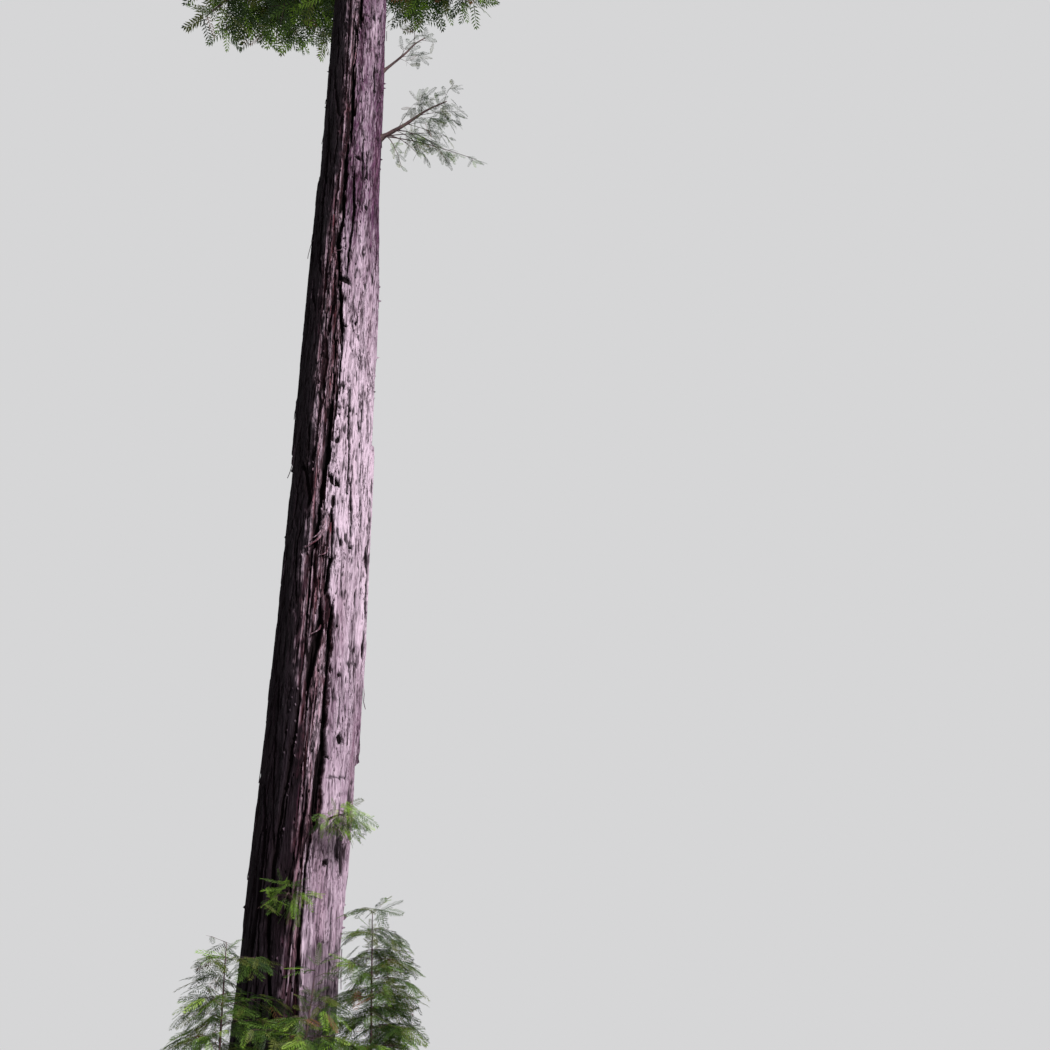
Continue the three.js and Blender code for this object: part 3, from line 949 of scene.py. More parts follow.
@dataclass
class Trunk:
    """The trunk's bark in four lengths, each a closed tube with its relief in the mesh."""

    lengths: tuple[BarkLength, ...] = (
        BarkLength("trunk_bark_low", 0.0, 6.4, 300),
        BarkLength("trunk_bark_middle", 6.4, 12.7, 300),
        BarkLength("trunk_bark_high", 12.7, 19.0, 300),
        BarkLength("trunk_bark_crown", 18.96, 39.05, 120, 0.006),
    )
    cuts: tuple[int, int] = (16, 17)
    tuck_height: float = 0.02
    least_radius: float = 0.03
    least_reach: float = 0.004
    soft_edge: float = math.radians(55)

    def tube(self, length: BarkLength) -> bpy.types.Object:
        """Makes the plain tube that the relief is pressed into.

        Args:
            length: Where the tube runs and how fine it is.

        Returns:
            The tube, cut into rows along its height.
        """
        deselect_all()
        bpy.ops.mesh.primitive_cylinder_add(
            vertices=length.columns, radius=1.0, depth=length.top - length.bottom, end_fill_type="NGON",
            location=(0, 0, (length.top + length.bottom) / 2))
        tube = bpy.context.object
        tube.name = tube.data.name = length.name
        bpy.ops.object.transform_apply(location=True, rotation=True, scale=True)
        bpy.ops.object.mode_set(mode="EDIT")
        for cuts in self.cuts:
            bpy.ops.mesh.select_all(action="DESELECT")
            bpy.context.tool_settings.mesh_select_mode = (False, True, False)
            cage = bmesh.from_edit_mesh(tube.data)
            for edge in cage.edges:
                start, end = edge.verts
                edge.select_set(abs(start.co.z - end.co.z) > 1e-4)
            bmesh.update_edit_mesh(tube.data)
            bpy.ops.mesh.subdivide(number_cuts=cuts)
        bpy.ops.object.mode_set(mode="OBJECT")
        return tube

    def press(self, tube: bpy.types.Object, length: BarkLength) -> None:
        """Moves the tube's corners to the trunk's girth and relief.

        Args:
            tube: The plain tube.
            length: Where the tube runs.
        """
        place = np.empty(len(tube.data.vertices) * 3)
        tube.data.vertices.foreach_get("co", place)
        x, y, z = place.reshape(-1, 3).T
        angle = np.arctan2(y, x)
        bark = RELIEF.work_out(Spots(angle, z, np.maximum(FORM.radius(z), self.least_radius)))
        girth = FORM.radius(z) + FORM.flare(angle, z) + bark["offset"]
        reach = np.maximum(girth - length.tuck * (z < length.bottom + self.tuck_height), self.least_reach)
        place = np.stack([FORM.axis_x(z) + reach * np.cos(angle), reach * np.sin(angle), z], axis=1)
        tube.data.vertices.foreach_set("co", place.ravel())
        mark(tube, bark)
        tube.data.update()

    def build(self, finish: bpy.types.Material) -> None:
        """Builds and dresses each length.

        Args:
            finish: The bark's finish.
        """
        for length in self.lengths:
            tube = self.tube(length)
            self.press(tube, length)
            bpy.ops.object.shade_smooth_by_angle(angle=self.soft_edge)
            tube.data.materials.append(finish)
            hand_over(tube, ["trunk"])


@dataclass(frozen=True)
class LimbSkin:
    """A limb's ridges and knots: how close they lie round and along it, and their share of its radius."""

    turns: float
    rise: float
    depth: float


@dataclass
class TubePile:
    """Many tapering round tubes, joined into one mesh."""

    sides: int
    vertices: list[np.ndarray] = field(default_factory=list)
    faces: list[np.ndarray] = field(default_factory=list)
    count: int = 0
    soft_edge: float = math.radians(60)

    def around(self) -> np.ndarray:
        """The angles of a ring's corners."""
        return np.arange(self.sides) * 2 * np.pi / self.sides

    def add(self, points: np.ndarray, radii: np.ndarray, relief: np.ndarray | float = 0.0) -> None:
        """Adds one closed tube.

        Args:
            points: The tube's middle line, one row for each ring.
            radii: The tube's radius at each ring.
            relief: Extra radius for each corner of each ring.
        """
        along = unit(np.gradient(points, axis=0))
        aside = np.cross(along, UP)
        upright = np.linalg.norm(aside, axis=1, keepdims=True) < 0.15
        aside = unit(np.where(upright, np.cross(along, np.array([1.0, 0.0, 0.0])), aside))
        lift = np.cross(along, aside)
        angle = self.around()[None, :, None]
        ring = aside[:, None, :] * np.cos(angle) + lift[:, None, :] * np.sin(angle)
        body = points[:, None, :] + (radii[:, None] + relief)[..., None] * ring
        corners = len(points) * self.sides
        around = np.arange(self.sides)
        after = (around + 1) % self.sides
        root_cap = np.stack([after, around, np.full(self.sides, corners)], axis=-1)
        last = corners - self.sides
        tip_cap = np.stack([around + last, after + last, np.full(self.sides, corners + 1)], axis=-1)
        tip = points[-1] + along[-1] * radii[-1]
        self.vertices.append(np.concatenate([body.reshape(-1, 3), points[:1], tip[None, :]]))
        skin = tube_skin(len(points), self.sides)
        self.faces.append(np.concatenate([skin, root_cap, tip_cap]) + self.count)
        self.count += corners + 2

    def add_rough(self, skin: LimbSkin, line: np.ndarray, radii: np.ndarray, key: float) -> None:
        """Adds one closed tube with an uneven skin.

        Args:
            skin: The ridges' sizes.
            line: The tube's middle line.
            radii: Its radius at each ring.
            key: A number that makes this tube's ridges its own.
        """
        angle = self.around()[None, :]
        ridges = NOISE.smooth(np.cos(angle) * skin.turns + key, np.sin(angle) * skin.turns,
                              walk(line)[:, None] * skin.rise)
        self.add(line, radii, radii[:, None] * skin.depth * ridges)

    def piece(self, name: str, material: bpy.types.Material) -> bpy.types.Object:
        """Joins the tubes.

        Args:
            name: The piece's name.
            material: Its finish.

        Returns:
            The joined piece.
        """
        piece = mesh_piece(name, self.vertices, self.faces, material)
        deselect_all()
        piece.select_set(True)
        bpy.context.view_layer.objects.active = piece
        bpy.ops.object.shade_smooth_by_angle(angle=self.soft_edge)
        return piece


@dataclass(frozen=True)
class SprayShape:
    """A flat sprig, one unit long: a stem with needles in pairs, longest a third of the way up."""

    pairs: int
    needle_length: float
    needle_width: float
    curl: float

    def mesh(self, draw: np.random.Generator) -> tuple[np.ndarray, np.ndarray]:
        """Makes the sprig with a few uneven needles.

        Args:
            draw: The seeded source of unevenness.

        Returns:
            Corner places and three-cornered faces.
        """
        stem = 0.35 * self.needle_width
        places = [[0, -stem, 0], [0, stem, 0], [0.97, 0, -self.curl]]
        faces = [[0, 2, 1]]
        for step in range(self.pairs * 2 + 1):
            side = 0 if step == self.pairs * 2 else (-1, 1)[step % 2]
            along = min(0.96, (step // 2 + 0.45 + 0.12 * side) / self.pairs)
            spread = math.radians(0 if side == 0 else 64 - 26 * along + draw.uniform(-6, 6))
            length = self.needle_length * (math.sin(math.pi * (0.16 + 0.74 * along)) ** 0.7 + 0.05)
            length *= draw.uniform(0.85, 1.1)
            base = np.array([along, 0.0, -self.curl * along**2])
            toward = np.array([math.cos(spread), side * math.sin(spread), draw.uniform(-0.22, 0.05)])
            half = np.array([-toward[1], toward[0], 0.0]) * self.needle_width / 2
            middle = base + toward * 0.42 * length
            tip = base + toward * length + np.array([0, 0, -0.12 * length])
            first = len(places)
            places += [base, middle - half, tip, middle + half]
            faces += [[first, first + 1, first + 2], [first, first + 2, first + 3]]
        return np.array(places, float), np.array(faces)


SPRAY_SHAPES = {
    Family.CROWN: SprayShape(pairs=7, needle_length=0.31, needle_width=0.07, curl=0.12),
    Family.LOW: SprayShape(pairs=11, needle_length=0.27, needle_width=0.039, curl=0.16),
}
SHAPE_COUNT = 4


@dataclass
class SprayPile:
    """Every sprig of one family, dealt out by tint and joined into pieces."""

    family: Family
    slot: Slot
    rows: dict[Tint, list[tuple]] = field(default_factory=dict)

    def add(self, tint: Tint, base: np.ndarray, toward: np.ndarray, face: np.ndarray, length: float) -> None:
        """Adds one sprig by its foot, its direction, the way that its flat face looks, and its length."""
        self.rows.setdefault(tint, []).append((*base, *toward, *face, length))

    def pieces(self, draw: np.random.Generator) -> list[bpy.types.Object]:
        """Joins the sprigs of each tint into pieces of a bounded size.

        Args:
            draw: The seeded source of unevenness.

        Returns:
            The finished pieces.
        """
        made = []
        shapes = [SPRAY_SHAPES[self.family].mesh(draw) for _ in range(SHAPE_COUNT)]
        for tint, rows in self.rows.items():
            finish = NEEDLE_FINISHES[tint].material(f"{self.family.value}_{tint.value}_needles")
            parts = math.ceil(len(rows) * len(shapes[0][1]) / MOST_TRIANGLES)
            for number, table in enumerate(np.array_split(np.array(rows), parts), start=1):
                ending = f"_{number}" if parts > 1 else ""
                name = f"{self.family.value}_sprays_{tint.value}{ending}"
                made.append(mesh_piece(name, *self.place(table, shapes), finish))
        return made

    def place(self, table: np.ndarray, shapes: list[tuple]) -> tuple[list[np.ndarray], list[np.ndarray]]:
        """Places one shape on each row.

        Args:
            table: Rows of base, direction, face and length.
            shapes: The sprigs to take turns with.

        Returns:
            Corner places and faces of the sprigs of each shape.
        """
        vertices, faces, count = [], [], 0
        for turn, (places, corners) in enumerate(shapes):
            rows = table[turn::len(shapes)]
            toward = unit(rows[:, 3:6])
            aside = unit(np.cross(rows[:, 6:9], toward))
            axes = np.stack([toward, aside, np.cross(toward, aside)], axis=1) * rows[:, 9][:, None, None]
            moved = np.einsum("vk,nkx->nvx", places, axes) + rows[:, None, 0:3]
            shift = count + np.arange(len(rows)) * len(places)
            vertices.append(moved.reshape(-1, 3))
            faces.append((corners[None, :, :] + shift[:, None, None]).reshape(-1, 3))
            count += len(rows) * len(places)
        return vertices, faces


class MassShape:
    """The room that a foliage solid gives its branches."""

    def __init__(self, node: str) -> None:
        """Reads the solid from the frame.

        Args:
            node: The foliage solid's name.
        """
        self.corners = corners_of(node)
        faces = np.array([p.vertices for p in frame["nodes"][node].data.polygons])
        self.tree = BVHTree.FromPolygons([Vector(c) for c in self.corners], faces.tolist())
        a, b, c = (self.corners[faces[:, k]] for k in range(3))
        self.volume = float(np.sum(a * np.cross(b, c))) / 6
        self.low, self.high = self.corners.min(axis=0), self.corners.max(axis=0)
        self.middle = (self.low + self.high) / 2
        self.half = (self.high - self.low) / 2

    def beyond(self, point: np.ndarray) -> float:
        """How far a point lies outside the solid, below nought inside it."""
        at, normal, _, distance = self.tree.find_nearest(Vector(point))
        return distance if (Vector(point) - at).dot(normal) > 0 else -distance

    def spread(self, draw: np.random.Generator, count: int, tries: int = 5) -> np.ndarray:
        """Picks points all through the solid, well apart from each other.

        Args:
            draw: The seeded source of chance.
            count: How many points to pick.
            tries: How many places are weighed up for each point.

        Returns:
            The points, one row each.
        """
        chosen = []
        while len(chosen) < count:
            offers = []
            while len(offers) < tries:
                offer = draw.uniform(self.low, self.high)
                if self.beyond(offer) < 0:
                    offers.append(offer)
            if chosen:
                gaps = [np.min(np.linalg.norm(np.array(chosen) - offer, axis=1)) for offer in offers]
                chosen.append(offers[int(np.argmax(gaps))])
            else:
                chosen.append(offers[0])
        return np.array(chosen)

    def toward(self, measure: np.ndarray, share: float) -> np.ndarray:
        """A point the given share of the way from the middle to the corner with the largest measure."""
        return self.middle + (self.corners[np.argmax(measure)] - self.middle) * share


def middle_line(node: str, steps: int) -> np.ndarray:
    """Reads a limb solid's middle line from the frame, from the trunk outwards.

    Args:
        node: The limb solid's name.
        steps: How many points to give.

    Returns:
        The points, one row each.
    """
    corners = corners_of(node)
    order = np.argsort(FORM.away(corners) + 0.5 * corners[:, 2])
    return np.array([corners[part].mean(axis=0) for part in np.array_split(order, steps)])


def smooth_path(count: int, *points: np.ndarray) -> np.ndarray:
    """Runs one smooth line through a few points.

    Args:
        count: How many points the line gets.
        *points: The points to run through.

    Returns:
        The line's points, evenly shared out.
    """
    padded = np.array([2 * points[0] - points[1], *points, 2 * points[-1] - points[-2]])
    t = np.linspace(0, 1, 16, endpoint=False)[:, None]
    fine = [0.5 * (2 * b + (c - a) * t + (2 * a - 5 * b + 4 * c - d) * t**2 + (3 * b - a - 3 * c + d) * t**3)
            for a, b, c, d in zip(padded, padded[1:], padded[2:], padded[3:])]
    line = np.concatenate([*fine, points[-1:]])
    walked = walk(line)
    even = np.linspace(0, walked[-1], count)
    return np.stack([np.interp(even, walked, line[:, k]) for k in range(3)], axis=1)


def droop(base: np.ndarray, toward: np.ndarray, length: float, share: np.ndarray) -> np.ndarray:
    """Points a share of the way along a straight twig that sags a little under its weight."""
    return base + toward * length * share - UP * TWIG_SAG * length * share**2


@dataclass(frozen=True)
class GrowthRule:
    """How a limb branches, in metres, cubic metres and degrees."""

    room: float
    leaving: float
    sag: float
    slope: float
    branch_radius: float
    bare_share: float
    twig_gap: float
    twig_reach: tuple[float, float]
    twig_radius: float
    sprays: int
    spray_length: tuple[float, float]
    overhang: float
    stray: float
    tints: dict[Tint, float]
    rim_tints: dict[Tint, float]


CROWN_RULE = GrowthRule(
    room=0.172, leaving=52, sag=0.06, slope=0.38, branch_radius=0.016, bare_share=0.3,
    twig_gap=0.17, twig_reach=(0.24, 0.46), twig_radius=0.006, sprays=3, spray_length=(0.34, 0.5),
    overhang=0.1, stray=4.2,
    tints={Tint.DEEP: 0.42, Tint.MID: 0.34, Tint.OLIVE: 0.16, Tint.BRIGHT: 0.05, Tint.BROWN: 0.03},
    rim_tints={Tint.DEEP: 0.14, Tint.MID: 0.36, Tint.OLIVE: 0.2, Tint.BRIGHT: 0.28, Tint.BROWN: 0.02})

SIDE_RULE = GrowthRule(
    room=0.055, leaving=48, sag=0.08, slope=0.5, branch_radius=0.008, bare_share=0.25,
    twig_gap=0.1, twig_reach=(0.08, 0.2), twig_radius=0.003, sprays=3, spray_length=(0.14, 0.23),
    overhang=0.04, stray=3.0,
    tints={Tint.DEEP: 0.7, Tint.MID: 0.17, Tint.OLIVE: 0.1, Tint.BROWN: 0.03},
    rim_tints={Tint.DEEP: 0.6, Tint.MID: 0.25, Tint.OLIVE: 0.15})

LEADER_RULE = replace(
    CROWN_RULE, room=0.07, twig_reach=(0.12, 0.3), spray_length=(0.2, 0.34), overhang=0.12)

SHOOT_RULE = GrowthRule(
    room=0.021, leaving=78, sag=0.2, slope=0.26, branch_radius=0.005, bare_share=0.12,
    twig_gap=0.062, twig_reach=(0.07, 0.19), twig_radius=0.002, sprays=3, spray_length=(0.14, 0.27),
    overhang=0.09, stray=2.6,
    tints={Tint.DEEP: 0.44, Tint.MID: 0.28, Tint.OLIVE: 0.2, Tint.BRIGHT: 0.05, Tint.BROWN: 0.03},
    rim_tints={Tint.DEEP: 0.22, Tint.MID: 0.38, Tint.OLIVE: 0.2, Tint.BRIGHT: 0.15, Tint.PALE: 0.04,
               Tint.BROWN: 0.01})

SHOOT_TIP_RULE = replace(
    SHOOT_RULE, sprays=2, spray_length=(0.08, 0.17), overhang=0.2,
    rim_tints={Tint.DEEP: 0.15, Tint.MID: 0.45, Tint.OLIVE: 0.15, Tint.BRIGHT: 0.25})

BOLE_RULE = GrowthRule(
    room=0.006, leaving=55, sag=0.45, slope=0.8, branch_radius=0.0035, bare_share=0.25,
    twig_gap=0.055, twig_reach=(0.04, 0.12), twig_radius=0.0016, sprays=2, spray_length=(0.1, 0.24),
    overhang=0.08, stray=1.6,
    tints={Tint.DEEP: 0.2, Tint.MID: 0.4, Tint.OLIVE: 0.15, Tint.BRIGHT: 0.25},
    rim_tints={Tint.MID: 0.35, Tint.BRIGHT: 0.45, Tint.PALE: 0.2})

KNOT_RULE = replace(
    SIDE_RULE, slope=0.7, bare_share=0.4, twig_gap=0.13, twig_reach=(0.05, 0.13), sprays=2,
    spray_length=(0.09, 0.17),
    rim_tints={Tint.DEEP: 0.45, Tint.MID: 0.25, Tint.OLIVE: 0.15, Tint.BRIGHT: 0.15})


class OpenRoom:
    """Room without an end, for twigs that no foliage solid stands for."""

    middle = np.zeros(3)
    half = np.full(3, 1000.0)

    def beyond(self, point: np.ndarray) -> float:
        """Tells that every point lies inside."""
        return -1.0


@dataclass
class Grower:
    """Grows branches, twigs and sprays on from a limb, inside the room its solid gives."""

    draw: np.random.Generator
    branches: TubePile
    twigs: TubePile
    sprays: SprayPile
    low: np.ndarray
    high: np.ndarray
    rule: GrowthRule = CROWN_RULE
    shape: MassShape | OpenRoom = field(default_factory=OpenRoom)
    slack: float = 1.0
    spray_turn: float = 0.22
    spray_wander: float = 0.1
    tip_wander: float = 0.08
    spray_ahead: float = 0.65
    spray_aside: float = 0.75
    cut_back: float = 0.45
    twig_taper: float = 0.45
    branch_taper: float = 0.3
    branch_wander: float = 0.05
    ring_gap: float = 0.22
    fewest: int = 7

    def take_up(self, rule: GrowthRule, shape: MassShape | OpenRoom) -> None:
        """Starts on what grows by another rule or in another room."""
        self.rule, self.shape = rule, shape

    def uneven(self, scale: float) -> np.ndarray:
        """A small step in any direction."""
        return self.draw.normal(scale=scale, size=3)

    def room(self) -> float:
        """How far a tip may stand out of the mass."""
        return self.rule.overhang * self.slack

    def spray(self, base: np.ndarray, toward: np.ndarray, face: np.ndarray, rim: float) -> None:
        """Adds a sprig, unless it would stand too far out of the mass.

        Args:
            base: Where it starts.
            toward: Where it points.
            face: Which way its flat face looks.
            rim: How often it takes a young colour, from 0 to 1.
        """
        length = self.draw.uniform(*self.rule.spray_length)
        look = face + self.uneven(self.spray_turn)
        look = unit(look - toward * float(look @ toward))
        shares = self.rule.rim_tints if self.draw.random() < rim else self.rule.tints
        weights = np.array(list(shares.values()))
        tint = list(shares)[self.draw.choice(len(shares), p=weights / weights.sum())]
        end = base + toward * length
        inside = np.all(end > self.low) and np.all(end < self.high)
        if inside and self.shape.beyond(end) < self.room():
            self.sprays.add(tint, base, toward, look, length)

    def twig(self, base: np.ndarray, toward: np.ndarray, face: np.ndarray, length: float, rim: float) -> None:
        """Adds a twig with its sprigs.

        Args:
            base: Where it starts.
            toward: Where it points.
            face: Which way the sprays' flat faces look.
            length: Its length.
            rim: How often its sprigs take a young colour, from 0 to 1.
        """
        rule = self.rule
        if self.shape.beyond(base + toward * length) > self.room() - 0.5 * rule.spray_length[0]:
            length *= self.cut_back
        line = droop(base, toward, length, np.linspace(0, 1, 3)[:, None])
        self.twigs.add(line, np.linspace(rule.twig_radius, self.twig_taper * rule.twig_radius, 3))
        ahead = unit(line[-1] - line[-2])
        aside = unit(np.cross(face, ahead))
        self.spray(line[-1], unit(ahead + self.uneven(self.tip_wander)), face, rim)
        for number in range(rule.sprays):
            point = droop(base, toward, length, 0.2 + 0.7 * (number + 0.5) / rule.sprays)
            side = self.spray_aside if number % 2 else -self.spray_aside
            way = unit(ahead * self.spray_ahead + aside * side + self.uneven(self.spray_wander))
            self.spray(point, way, face, rim)

    def branch(self, line: np.ndarray, root: float) -> None:
        """Adds a branch with its twigs, all lying near one plane.

        Args:
            line: Its middle line.
            root: Its radius at the root.
        """
        rule, steps = self.rule, len(line)
        self.branches.add(line, np.linspace(root, self.branch_taper * root, steps))
        face = unit(UP + self.uneven(rule.slope))
        count = max(2, int(walk(line)[-1] * (1 - rule.bare_share) / rule.twig_gap))
        for number in range(count):
            at = rule.bare_share + (1 - rule.bare_share) * (number + self.draw.uniform(0.2, 0.8)) / count
            place = at * (steps - 1)
            low = min(int(place), steps - 2)
            point = line[low] + (line[low + 1] - line[low]) * (place - low)
            ahead = unit(line[low + 1] - line[low])
            level = unit(np.cross(face, ahead)) * (1 if number % 2 else -1)
            way = ahead * self.draw.uniform(0.5, 0.95) + level + UP * self.draw.normal(-0.1, 0.12)
            reach = self.draw.uniform(*rule.twig_reach) * (1.0 - 0.4 * at)
            upper = np.clip((point[2] - self.shape.middle[2]) / self.shape.half[2], -1.0, 1.0)
            self.twig(point, unit(way), face, reach, (0.2 + 0.6 * at) * (0.7 + 0.5 * upper))
        self.twig(line[-1], unit(line[-1] - line[-2]), face, 0.5 * rule.twig_reach[0], 0.9)

    def spiral(self, line: np.ndarray, count: int, reach: tuple[float, float]) -> None:
        """Adds small twigs in a spiral up the end of a leading stem.

        Args:
            line: The stem's middle line.
            count: How many twigs there are.
            reach: The lowest and the topmost twig's length.
        """
        for number in range(count):
            share = number / count
            out = np.array([math.cos(number * GOLDEN_ANGLE), math.sin(number * GOLDEN_ANGLE), 0.0])
            point = line[int((0.45 + 0.54 * share) * (len(line) - 1))]
            self.twig(point, unit(out + UP * (0.75 + 0.7 * share)), unit(UP * 1.1 - out),
                      reach[0] + (reach[1] - reach[0]) * share, 0.8)

    def mass(self, line: np.ndarray, start: float, thickness: tuple[float, float]) -> None:
        """Fills a mass: each branch leaves the limb and bends to its own place in the mass.

        Args:
            line: The limb's middle line, to its tip.
            start: The share of the line where the branches start.
            thickness: The limb's radius at the line's two ends.
        """
        rule, first = self.rule, int(start * (len(line) - 1))
        stem = line[first:]
        along = unit(np.gradient(stem, axis=0))
        leaving = math.radians(rule.leaving)
        for goal in self.shape.spread(self.draw, max(self.fewest, int(self.shape.volume / rule.room))):
            offset = goal - stem
            ahead = np.sum(offset * along, axis=1)
            aside = np.linalg.norm(offset - ahead[:, None] * along, axis=1)
            at = int(np.argmin(np.abs(ahead - aside * (1.0 / math.tan(leaving))) + 0.15 * aside))
            root = stem[at]
            length = float(np.linalg.norm(goal - root))
            if length < 0.5 * rule.twig_reach[0]:
                continue
            level = unit(offset[at] - ahead[at] * along[at] + 1e-6)
            leave = unit(along[at] * math.cos(leaving) + level * math.sin(leaving) + UP * 0.12)
            bend = root + leave * 0.5 * length + self.uneven(self.branch_wander) * length
            share = np.linspace(0, 1, max(4, int(length / self.ring_gap) + 2))[:, None]
            path = root * (1 - share) ** 2 + bend * 2 * share * (1 - share) + goal * share**2
            path = path - UP * rule.sag * length * share**2
            limb = thickness[0] + (thickness[1] - thickness[0]) * (first + at) / (len(line) - 1)
            thick = min(0.65 * limb, rule.branch_radius * (0.35 + 0.45 * length))
            self.slack = self.draw.uniform(0.3, rule.stray)
            self.branch(path, max(thick, 1.3 * rule.twig_radius))
        self.slack = 1.0


@dataclass
class Crown:
    """The boughs in their spiral and the leader, each with its branches, twigs and sprays."""

    grower: Grower
    boughs: TubePile
    skin: LimbSkin = LimbSkin(2.2, 5.0, 0.16)
    buried: float = 0.16
    root_radius: float = 0.016
    root_growth: float = 0.0188
    tip_radius: float = 0.008
    tip_share: float = 0.86
    taper: float = 0.85
    collar: float = 0.7
    collar_length: float = 0.14
    leader_ends: tuple[float, float] = (0.25, 0.3)
    leader_radii: tuple[float, float] = (0.02, 0.006)
    leader_limb: tuple[float, float] = (0.05, 0.008)
    top_twigs: int = 26
    top_reach: tuple[float, float] = (0.26, 0.1)
    dead_twigs: int = 3
    dead_reach: tuple[float, float] = (0.25, 0.6)
    dead_radii: tuple[float, float] = (0.007, 0.002)

    def bough_line(self, near: np.ndarray, shape: MassShape) -> np.ndarray:
        """The bough's whole line, from inside the bark to its furthest tip.

        Args:
            near: The middle line of the bough's solid.
            shape: The room of its mass.

        Returns:
            The line's points.
        """
        root = near[0] - unit(near[1] - near[0]) * self.buried
        tip = shape.toward(FORM.away(shape.corners), self.tip_share)
        between = near[-1] + (tip - near[-1]) * 0.5
        between = between * 0.55 + np.array([*between[:2], shape.middle[2]]) * 0.45
        return smooth_path(40, root, near[0], near[-1], between, tip)

    def build(self) -> None:
        """Grows every bough and the leader's tip."""
        limbs = [middle_line(limb, 3) for limb in nodes_of("bough_")]
        for number, near in enumerate(limbs, start=1):
            shape = MassShape(f"foliage_{number:02d}")
            line = self.bough_line(near, shape)
            length = walk(line)[-1]
            root = self.root_radius + self.root_growth * length
            share = np.linspace(0, 1, len(line))
            radii = self.tip_radius + (root - self.tip_radius) * (1 - share) ** self.taper
            radii = radii * (1 + self.collar * np.exp(-share * length / self.collar_length))
            self.boughs.add_rough(self.skin, line, radii, line[0].sum() * 3.7)
            enter = np.linalg.norm(near[-1] - line[0]) / length
            self.grower.take_up(CROWN_RULE, shape)
            self.grower.mass(line, enter + 0.02, (root, self.tip_radius))
        self.leader()
        for near in limbs:
            self.inner_twigs(near)
        LOG.info("crown: %d boughs", len(limbs))

    def leader(self) -> None:
        """Grows the small branches round the leader, up to the tree's highest tip."""
        shape = MassShape("foliage_tip")
        below, short = self.leader_ends
        foot, tip = UP * (shape.low[2] - below), UP * (shape.high[2] - short)
        line = smooth_path(30, foot, (foot + tip) / 2 + [0.015, -0.01, 0], tip)
        self.boughs.add(line[10:], np.linspace(*self.leader_radii, len(line) - 10))
        self.grower.take_up(LEADER_RULE, shape)
        self.grower.mass(line, 0.0, self.leader_limb)
        self.grower.twig(tip, UP, unit(np.array([0.6, -0.8, 0.1])), 0.06, 1.0)
        self.grower.spiral(line, self.top_twigs, self.top_reach)

    def inner_twigs(self, near: np.ndarray) -> None:
        """Adds a few bare dead twigs on the shaded part of a bough.

        Args:
            near: The middle line of the bough's solid.
        """
        draw, ahead = self.grower.draw, near[-1] - near[0]
        for _ in range(self.dead_twigs):
            base = near[0] + ahead * draw.uniform(0.1, 0.9)
            toward = unit(ahead + self.grower.uneven(0.9))
            line = droop(base, toward, draw.uniform(*self.dead_reach), np.linspace(0, 1, 5)[:, None])
            self.grower.branches.add(line, np.linspace(*self.dead_radii, 5))


@dataclass(frozen=True)
class StemForm:
    """A low stem: its radii, the swell of its root, its limb's radii for branching, and its buried length."""

    root: float
    tip: float
    collar: float
    limb: tuple[float, float]
    buried: float = 0.0


